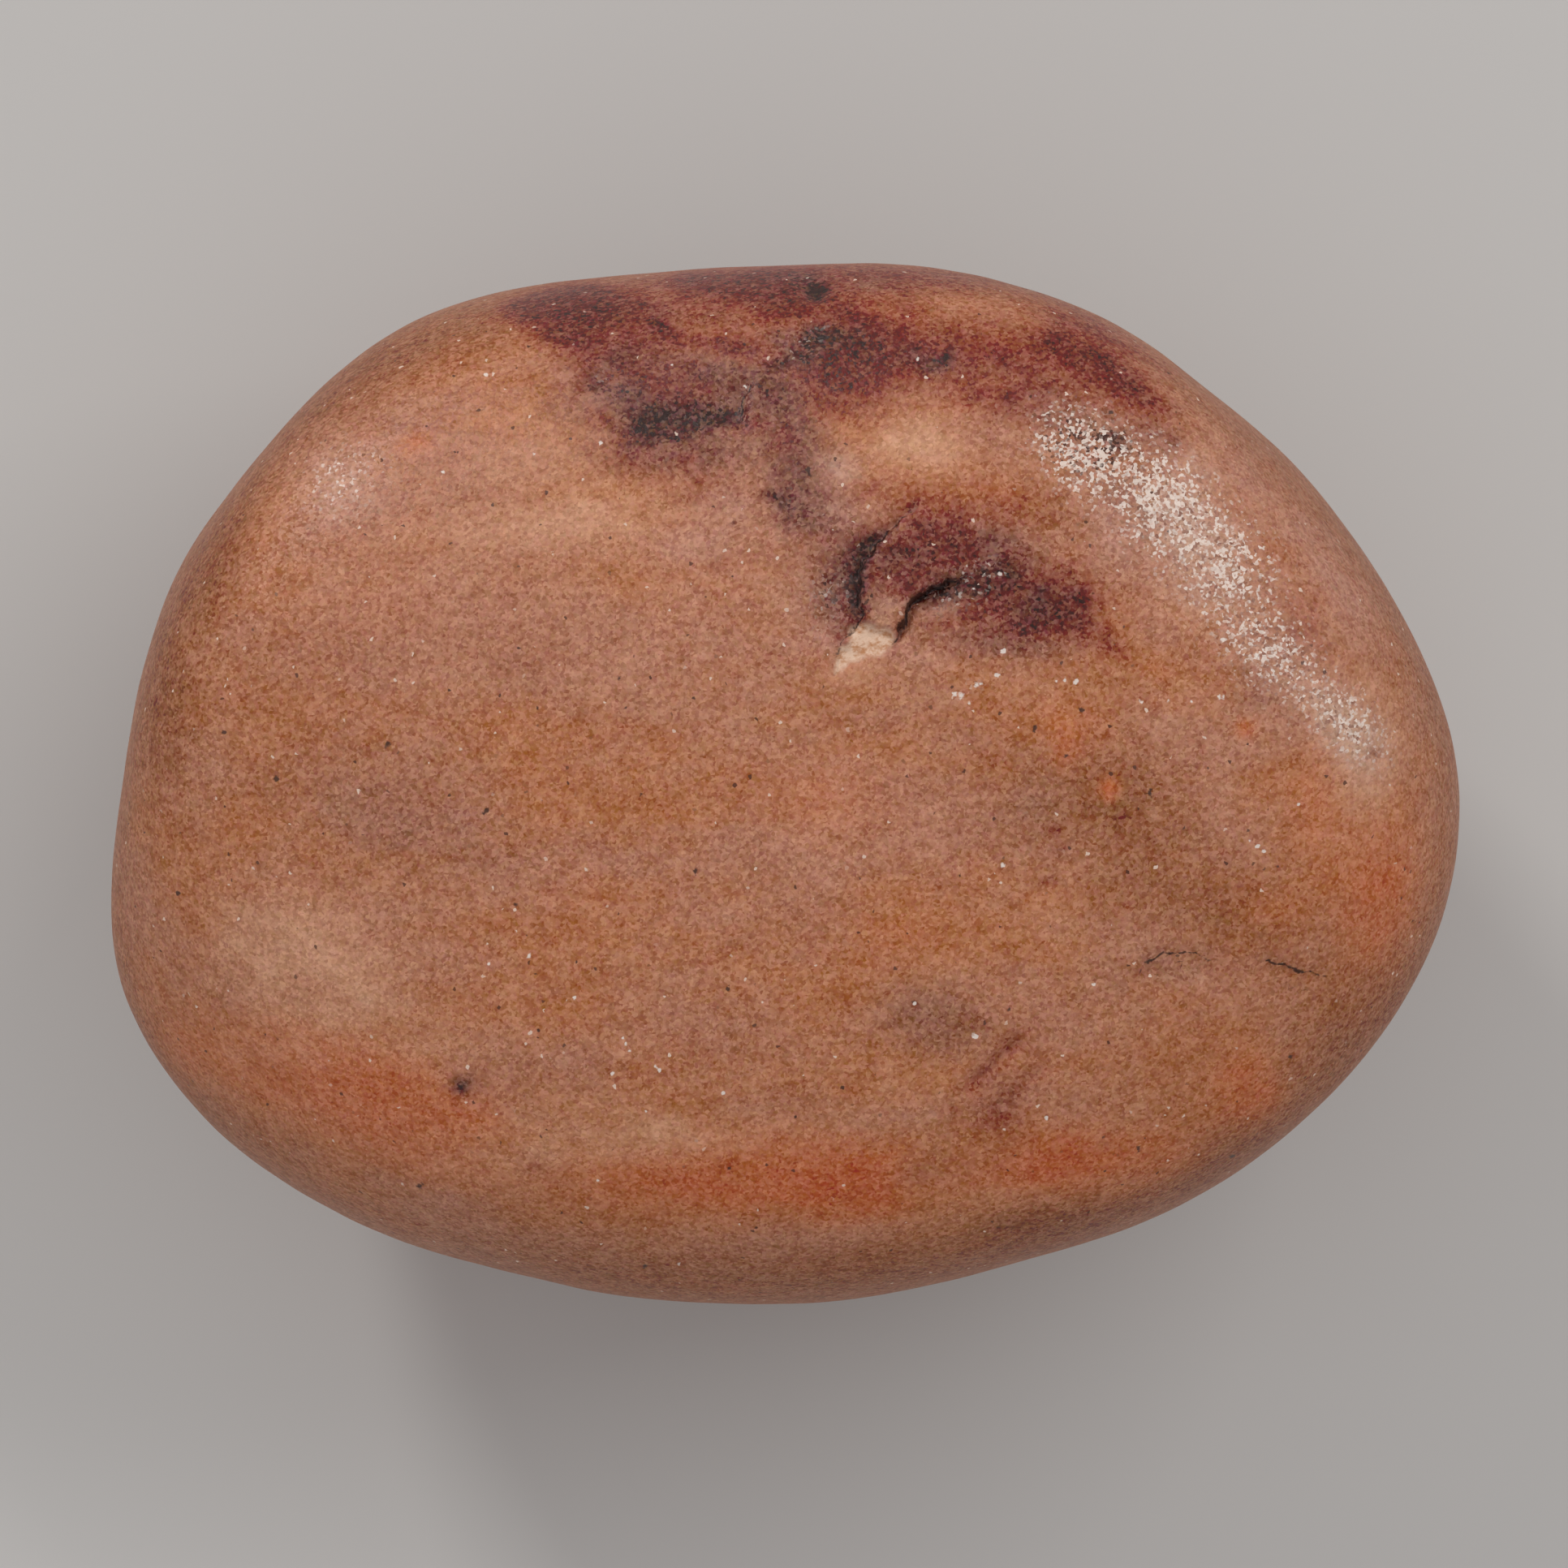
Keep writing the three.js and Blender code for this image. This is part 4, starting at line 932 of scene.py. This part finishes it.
# %% [markdown]
# In the sugary places many crumbs are white: some are bruised grains, and along the lit right
# shoulder and the upper-left spot they are painted glints. In the pepper zones dark iron sits
# between them. A crumb takes the tint where its random number and the strength of the zone come to
# more than 1 together, so the tinted crumbs get rarer towards the edge of the zone.

# %% Bruised white and dark iron
CRUMB_TINTS = [  # name, number of the chance, tint, share of crumbs tinted, most
    ("sugary_and_glints", 0, "#7c4a3a", 0.55, 0.7),
    ("pepper", 1, "#3a1f1c", 0.6, 0.85),
    ("sugary_and_glints", 2, "#efdccd", 0.68, 0.85),
]
FULL_TINT = 1.35
covers = []
for name, number, tint, share, most in CRUMB_TINTS:
    shaken = add_node(tree, "ShaderNodeMath", {0: pattern["ragged"], 1: 2 * share},
                      operation="MULTIPLY").outputs[0]
    above = add_node(tree, "ShaderNodeMath",
                     {0: shaken, 1: strength[name], 2: crumb_chance[number]},
                     operation="MULTIPLY_ADD").outputs[0]
    tinted = add_node(tree, "ShaderNodeMapRange", {
        "Value": above, "From Min": 1.0, "From Max": FULL_TINT, "To Max": most}, **SOFT)
    covers.append((tinted.outputs[0], linear(tint)))
print(len(covers), "tints for crumbs")

# %% [markdown]
# Away from those places a grain here and there is nearly black or nearly white, one in several
# hundred. The eye takes such stray grains for granted in a stone, and misses them otherwise.

# %% Stray grains
STRAYS = [  # number of the chance, share of crumbs, tint, most
    (1, 0.0022, "#43211a", 0.8),
    (2, 0.0018, "#ead0bc", 0.8),
]
for number, share, tint, most in STRAYS:
    stray = add_node(tree, "ShaderNodeMapRange", {
        "Value": crumb_chance[number], "From Min": 1 - share, "From Max": 1 - share / 2,
        "To Max": most})
    covers.append((stray.outputs[0], linear(tint)))
    print(f"one crumb in {1 / share:.0f} is {tint}")

# %% [markdown]
# The chip shows what the stone is like inside, where no water or stomach acid reached: cream.
# A crack is dark because light doesn't get out of it, and dirt stays in it. The distance from the
# crack, less its half width there, is 0 at the rim of the dark line. Noise makes the rim ragged.

# %% Fresh chip and cracks
HONEY_EDGES, HONEY, CREAM = (0.32, 0.62), "#bc8258", "#e6c2a6"
MOST_CRACK, CRACK_JITTER, CRACK_TINT = 0.88, 0.3, "#24100c"
honey_to_cream = add_node(tree, "ShaderNodeMapRange", {
    "Value": pattern["ragged"], "From Min": HONEY_EDGES[0], "From Max": HONEY_EDGES[1]}, **SOFT)
fresh = add_node(tree, "ShaderNodeMix", {
    SHARE: honey_to_cream.outputs[0], UNDER: linear(HONEY), OVER: linear(CREAM)},
    data_type="RGBA")
covers.append((strength["fresh"], fresh.outputs[MIXED]))
gap = add_node(tree, "ShaderNodeMath", {0: strength["crack_away"]}, operation="ABSOLUTE").outputs[0]
gap = add_node(tree, "ShaderNodeMath", {0: gap, 1: strength["crack_width"]},
               operation="SUBTRACT").outputs[0]
gap = add_node(tree, "ShaderNodeMath", {0: pattern["fine"], 1: CRACK_JITTER, 2: gap},
               operation="MULTIPLY_ADD").outputs[0]
dark_line = add_node(tree, "ShaderNodeMapRange", {
    "Value": gap, "From Min": CRACK_JITTER / 2 - CRACK_RIM,
    "From Max": CRACK_JITTER / 2 + CRACK_RIM, "To Min": MOST_CRACK, "To Max": 0.0}, **SOFT)
covers.append((dark_line.outputs[0], linear(CRACK_TINT)))
print("the widest dark line is", 2 * max(crack["dark"] for crack in CRACKS.values()), "mm")

# %% [markdown]
# A few dark specks and white flakes stand alone, so they can't come from a random pattern: they
# are listed places. A node for each would be slow. Instead every mesh point carries the place of
# the speck beside it, and the material measures its distance from the place that it is handed.
# Specks close together would get mixed up, so they are shared out over a few such attributes.

# %% Lone specks and flakes: x, y and size
SPECKS = [
    (-17.8, 1.8, 0.2), (-22.8, 0.25, 0.2), (-13.4, -1.2, 0.2), (-7.4, 4.75, 0.12),
    (-4.05, 3.85, 0.12), (11.25, 2.5, 0.17), (16.4, -0.4, 0.22), (-14.5, -13.6, 0.2),
    (-16.35, -18.05, 0.2), (15.9, -16.4, 0.17), (20.1, -16.7, 0.17), (22.7, -12.2, 0.17),
    (-12.05, -5.4, 0.12), (-2.5, -9.2, 0.12), (-6.25, -21.6, 0.15), (-2.45, -17.25, 0.12),
    (-3.95, -3.95, 0.17), (-27.2, -4.9, 0.14), (-25.1, 2.3, 0.12), (13.35, 3.35, 0.14),
    (12.65, 1.25, 0.14), (2.6, -13.6, 0.11), (0.5, -14.95, 0.09), (10.1, -10.1, 0.12),
    (-11.05, 3.4, 0.11), (-11.9, 6.1, 0.12), (1.1, 14, 0.22), (3, 17.9, 0.14),
    (1.35, 22.15, 0.45), (-11, -11.05, 0.11), (-9.3, -8, 0.09), (-15, 4.2, 0.11),
    (-2.3, 9.3, 0.12), (14.7, 16.7, 0.17), (7.2, 19.1, 0.18),
]
FLAKES = [
    (7.65, 4.02, 0.15), (7.95, 3.98, 0.18), (8.3, 3.62, 0.11), (8.65, 4.4, 0.16),
    (8.8, 4.5, 0.12), (9.6, 4.85, 0.14), (9.85, 5.98, 0.12), (12.2, 4.6, 0.11),
    (12.6, 4.68, 0.11), (13.1, 4.6, 0.14), (16.05, 3.65, 0.14), (17.25, 3.75, 0.12),
    (18.3, 3.7, 0.09), (19.5, 3.9, 0.12), (19.7, 3.88, 0.12), (9.8, -3.65, 0.11),
    (8.6, -11.3, 0.19), (11.8, -15, 0.12), (-13.25, -8.1, 0.11), (-9.4, -9.6, 0.11),
    (-7.25, -11.4, 0.09), (-7.1, -11.65, 0.09), (-6.9, -11.95, 0.11), (-5.75, -12.7, 0.11),
    (-5.6, -12.85, 0.11), (-7.7, -13, 0.11), (-2.7, -13.85, 0.09), (-6.2, -14.7, 0.09),
    (-4.7, -21.55, 0.09), (20.9, -2.6, 0.11), (21.25, -2.8, 0.11), (21.5, -3, 0.11),
    (23.1, -0.9, 0.09), (-11.2, 14.8, 0.11), (-13.4, 18.35, 0.11), (6, 19.05, 0.09),
    (-5, 18.8, 0.09), (-1.7, 17.8, 0.12), (-8.2, 15.3, 0.12), (2.2, 11.4, 0.09),
    (27.05, 1.35, 0.15), (-8.35, -17.8, 0.09), (5.85, -9.85, 0.09), (-15.3, 14, 0.11),
    (21.2, 5.8, 0.16), (19.7, 6.5, 0.12), (-11.45, -7.7, 0.14), (13.9, -9, 0.12),
    (8.5, 8.75, 0.12), (9.7, 9.4, 0.12),
]
APART, CARRIED = 2.6, 1.1  # mm
NOWHERE = (0, 0, -1000, 1)
final_seen = as_pictured(final_skin)


def spaced_groups(places):
    """The places shared out into groups, in each of which no two are close together."""
    groups = []
    for place in places:
        free = [group for group in groups
                if all(math.dist(place[:2], other[:2]) > APART for other in group)]
        if free:
            free[0].append(place)
        else:
            groups.append([place])
    return groups


def carry_places(thing, name, places):
    """Gives each point of the mesh the x, y and size of the place that it lies next to, as the four
    numbers of a colour. Points near no place carry one that is nowhere."""
    numbers = np.tile(np.array(NOWHERE, np.float32), (len(final_seen), 1))
    on_top = seen_side(final_skin) > 0.5
    for x, y, size in places:
        away = np.hypot(final_seen[:, 0] - x, final_seen[:, 1] - y)
        numbers[on_top & (away < CARRIED)] = (x, y, 0, size)
    attribute = thing.data.attributes.new(name, "FLOAT_COLOR", "POINT")
    attribute.data.foreach_set("color", numbers.ravel())


# %% Specks and flakes in the material
RAGGED_RIM, SPECK_RIM, MOST_SPECK = 3.0, (1.8, 2.4), 0.85
places_seen = pebble.data.attributes.new("seen", "FLOAT_VECTOR", "POINT")
places_seen.data.foreach_set("vector", np.pad(final_seen, ((0, 0), (0, 1))).ravel())
seen_place = add_node(tree, "ShaderNodeAttribute", {}, attribute_name="seen").outputs["Vector"]
for kind, tint, places in (("speck", "#33201c", SPECKS), ("flake", "#efe2d6", FLAKES)):
    groups = spaced_groups(places)
    for number, group in enumerate(groups):
        carry_places(pebble, f"{kind}_{number}", group)
        carried = add_node(tree, "ShaderNodeAttribute", {}, attribute_name=f"{kind}_{number}")
        away = add_node(tree, "ShaderNodeVectorMath",
                        {0: seen_place, 1: carried.outputs["Color"]}, operation="DISTANCE")
        sized = add_node(tree, "ShaderNodeMath",
                         {0: away.outputs["Value"], 1: carried.outputs["Alpha"]},
                         operation="DIVIDE").outputs[0]
        ragged = add_node(tree, "ShaderNodeMath",
                          {0: pattern["fine"], 1: RAGGED_RIM, 2: sized},
                          operation="MULTIPLY_ADD").outputs[0]
        inside = add_node(tree, "ShaderNodeMapRange", {
            "Value": ragged, "From Min": SPECK_RIM[0], "From Max": SPECK_RIM[1],
            "To Min": MOST_SPECK, "To Max": 0.0}, **SOFT)
        covers.append((inside.outputs[0], linear(tint)))
    print(len(places), kind + "s in", len(groups), "groups")

# %% [markdown]
# Tinted crumbs, stray grains, chip, cracks, specks and flakes hide the grains under them, so they
# are laid over the colour last.

# %% Covers laid over the grains
for cover, tint in covers:
    colour = add_node(tree, "ShaderNodeMix", {SHARE: cover, UNDER: colour, OVER: tint},
                      data_type="RGBA").outputs[MIXED]
print(len(covers), "covers")

# %% [markdown]
# Stomach polish is a satin, not a mirror. The tops of the grains are ground level, so most of the
# skin has an even soft sheen, but in the sugary places every grain lies its own way and
# glints by itself. Leaning the normal by a random amount per grain gives that sparkle.
# The floor here is pale, and a full gloss would mirror it in the rim as a grey haze. Half of the
# usual gloss keeps the red of the rim, as the black ground does in the photo.

# %% Polish and sparkle
POLISH, BROKEN = 0.42, 0.26
LEAST_LEAN, MOST_LEAN = 0.2, 0.5
BUMP_SHARE, BUMP_HEIGHT = 0.35, 0.1 * MM
QUARTZ_IOR, GLOSS = 1.54, 0.25
lean_amount = add_node(tree, "ShaderNodeMapRange", {
    "Value": strength["sugary_and_glints"], "To Min": LEAST_LEAN, "To Max": MOST_LEAN}).outputs[0]
lean = add_node(tree, "ShaderNodeVectorMath", {0: crumbs, 1: (0.5, 0.5, 0.5)},
                operation="SUBTRACT").outputs[0]
lean = add_node(tree, "ShaderNodeVectorMath", {0: lean, "Scale": lean_amount},
                operation="SCALE").outputs[0]
surface = add_node(tree, "ShaderNodeNewGeometry", {})
leaning = add_node(tree, "ShaderNodeVectorMath", {0: surface.outputs["Normal"], 1: lean}).outputs[0]
leaning = add_node(tree, "ShaderNodeVectorMath", {0: leaning}, operation="NORMALIZE").outputs[0]
bumps = add_node(tree, "ShaderNodeBump", {
    "Height": pattern["fine"], "Strength": BUMP_SHARE, "Distance": BUMP_HEIGHT, "Normal": leaning})
roughness = add_node(tree, "ShaderNodeMapRange", {
    "Value": strength["sugary_and_glints"], "To Min": POLISH, "To Max": BROKEN}).outputs[0]
stone_shader = add_node(tree, "ShaderNodeBsdfPrincipled", {
    "Base Color": colour, "Roughness": roughness, "Normal": bumps.outputs[0],
    "IOR": QUARTZ_IOR, "Specular IOR Level": GLOSS, "Metallic": 0.0})
add_node(tree, "ShaderNodeOutputMaterial", {"Surface": stone_shader.outputs[0]})
pebble.data.materials.append(quartzite)
print("the quartzite has", len(tree.nodes), "nodes")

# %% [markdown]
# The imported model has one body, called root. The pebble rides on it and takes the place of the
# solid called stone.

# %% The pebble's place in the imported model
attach(pebble, "root")
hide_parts("stone")
print(pebble.name, "stands in for the solid")

# %% [markdown]
# The floor is a plain pale board. It is large, so that views from the side see no edge of it.

# %% Pale floor
FLOOR_HALF = 1500.0  # mm
FLOOR_TINT, FLOOR_ROUGHNESS = "#cac7c2", 0.9
board = bpy.data.materials.new("pale_matt_board")
board.use_nodes = True
board_shader = board.node_tree.nodes["Principled BSDF"]
board_shader.inputs["Base Color"].default_value = linear(FLOOR_TINT)
board_shader.inputs["Roughness"].default_value = FLOOR_ROUGHNESS
corners = np.array([(-1, -1, 0), (1, -1, 0), (1, 1, 0), (-1, 1, 0)]) * FLOOR_HALF
floor = mesh_object("pale_floor", corners, np.array([[0, 1, 2, 3]]), {})
floor.data.materials.append(board)
print("floor reaches", FLOOR_HALF, "mm each way")

# %% [markdown]
# Two soft lamps stand behind the stone, one at each side, as in the photo. The right one is
# long, so its reflection runs as a band along the right shoulder. The left one is small and
# gives a round spot. The near rim gets only what the floor and the room throw back.

# %% Lamps
LAMP_DISTANCE = 1600
LAMPS = [  # name, where it stands, width and height in mm, watts
    ("right_lamp", (0.57, 0.48, 0.8), (1130, 240), 5.9),
    ("left_lamp", (-0.48, 0.74, 0.5), (300, 270), 7.6),
]
for name, way, (wide, tall), watts in LAMPS:
    lamp_data = bpy.data.lights.new(name, "AREA")
    lamp_data.shape = "RECTANGLE"
    lamp_data.size, lamp_data.size_y = wide * MM, tall * MM
    lamp_data.energy = watts
    lamp = bpy.data.objects.new(name, lamp_data)
    way = np.array(way) / np.linalg.norm(way)
    sideways = np.cross((0, 0, 1), way)
    sideways /= np.linalg.norm(sideways)
    upwards = np.cross(way, sideways)
    turn = Matrix((sideways, upwards, way)).transposed().to_4x4()
    lamp.matrix_world = Matrix.Translation((way * LAMP_DISTANCE + (0, 0, WAIST)) * MM) @ turn
    bpy.context.scene.collection.objects.link(lamp)
    print(f"{name} stands {LAMP_DISTANCE} mm away and is {wide} by {tall} mm")

# %% [markdown]
# The room itself gives an even light from all sides. It fills the shadows, so that the near flank
# isn't black.

# %% Soft light of the room
ROOM_TINT, ROOM_STRENGTH = "#e6e6ea", 0.66
room = bpy.data.worlds.new("soft_room")
room.use_nodes = True
background = room.node_tree.nodes["Background"]
background.inputs["Color"].default_value = linear(ROOM_TINT)
background.inputs["Strength"].default_value = ROOM_STRENGTH
bpy.context.scene.world = room
bpy.context.scene.view_settings.view_transform = "Standard"
print("room light", ROOM_STRENGTH)

# %% [markdown]
# The photo is taken straight down from about half a metre, with the stone in the middle.
# The picture is 1932 pixels wide and the stone's 60 mm take 1648 of them, so the picture is
# 70.3 mm wide at the level of the stone's waist. The lens follows from that and the distance.

# %% Camera
PICTURE_PIXELS, STONE_PIXELS = 1932, 1648
SENSOR = 36.0
picture_width = LENGTH * PICTURE_PIXELS / STONE_PIXELS
camera_data = bpy.data.cameras.new("camera")
camera_data.sensor_width = SENSOR
camera_data.lens = SENSOR * CAMERA_DISTANCE / picture_width
camera_data.clip_start = 0.01
camera = bpy.data.objects.new("camera", camera_data)
camera.location = (0, 0, (WAIST + CAMERA_DISTANCE) * MM)
bpy.context.scene.collection.objects.link(camera)
bpy.context.scene.camera = camera
print(f"lens {camera_data.lens:.1f} mm")
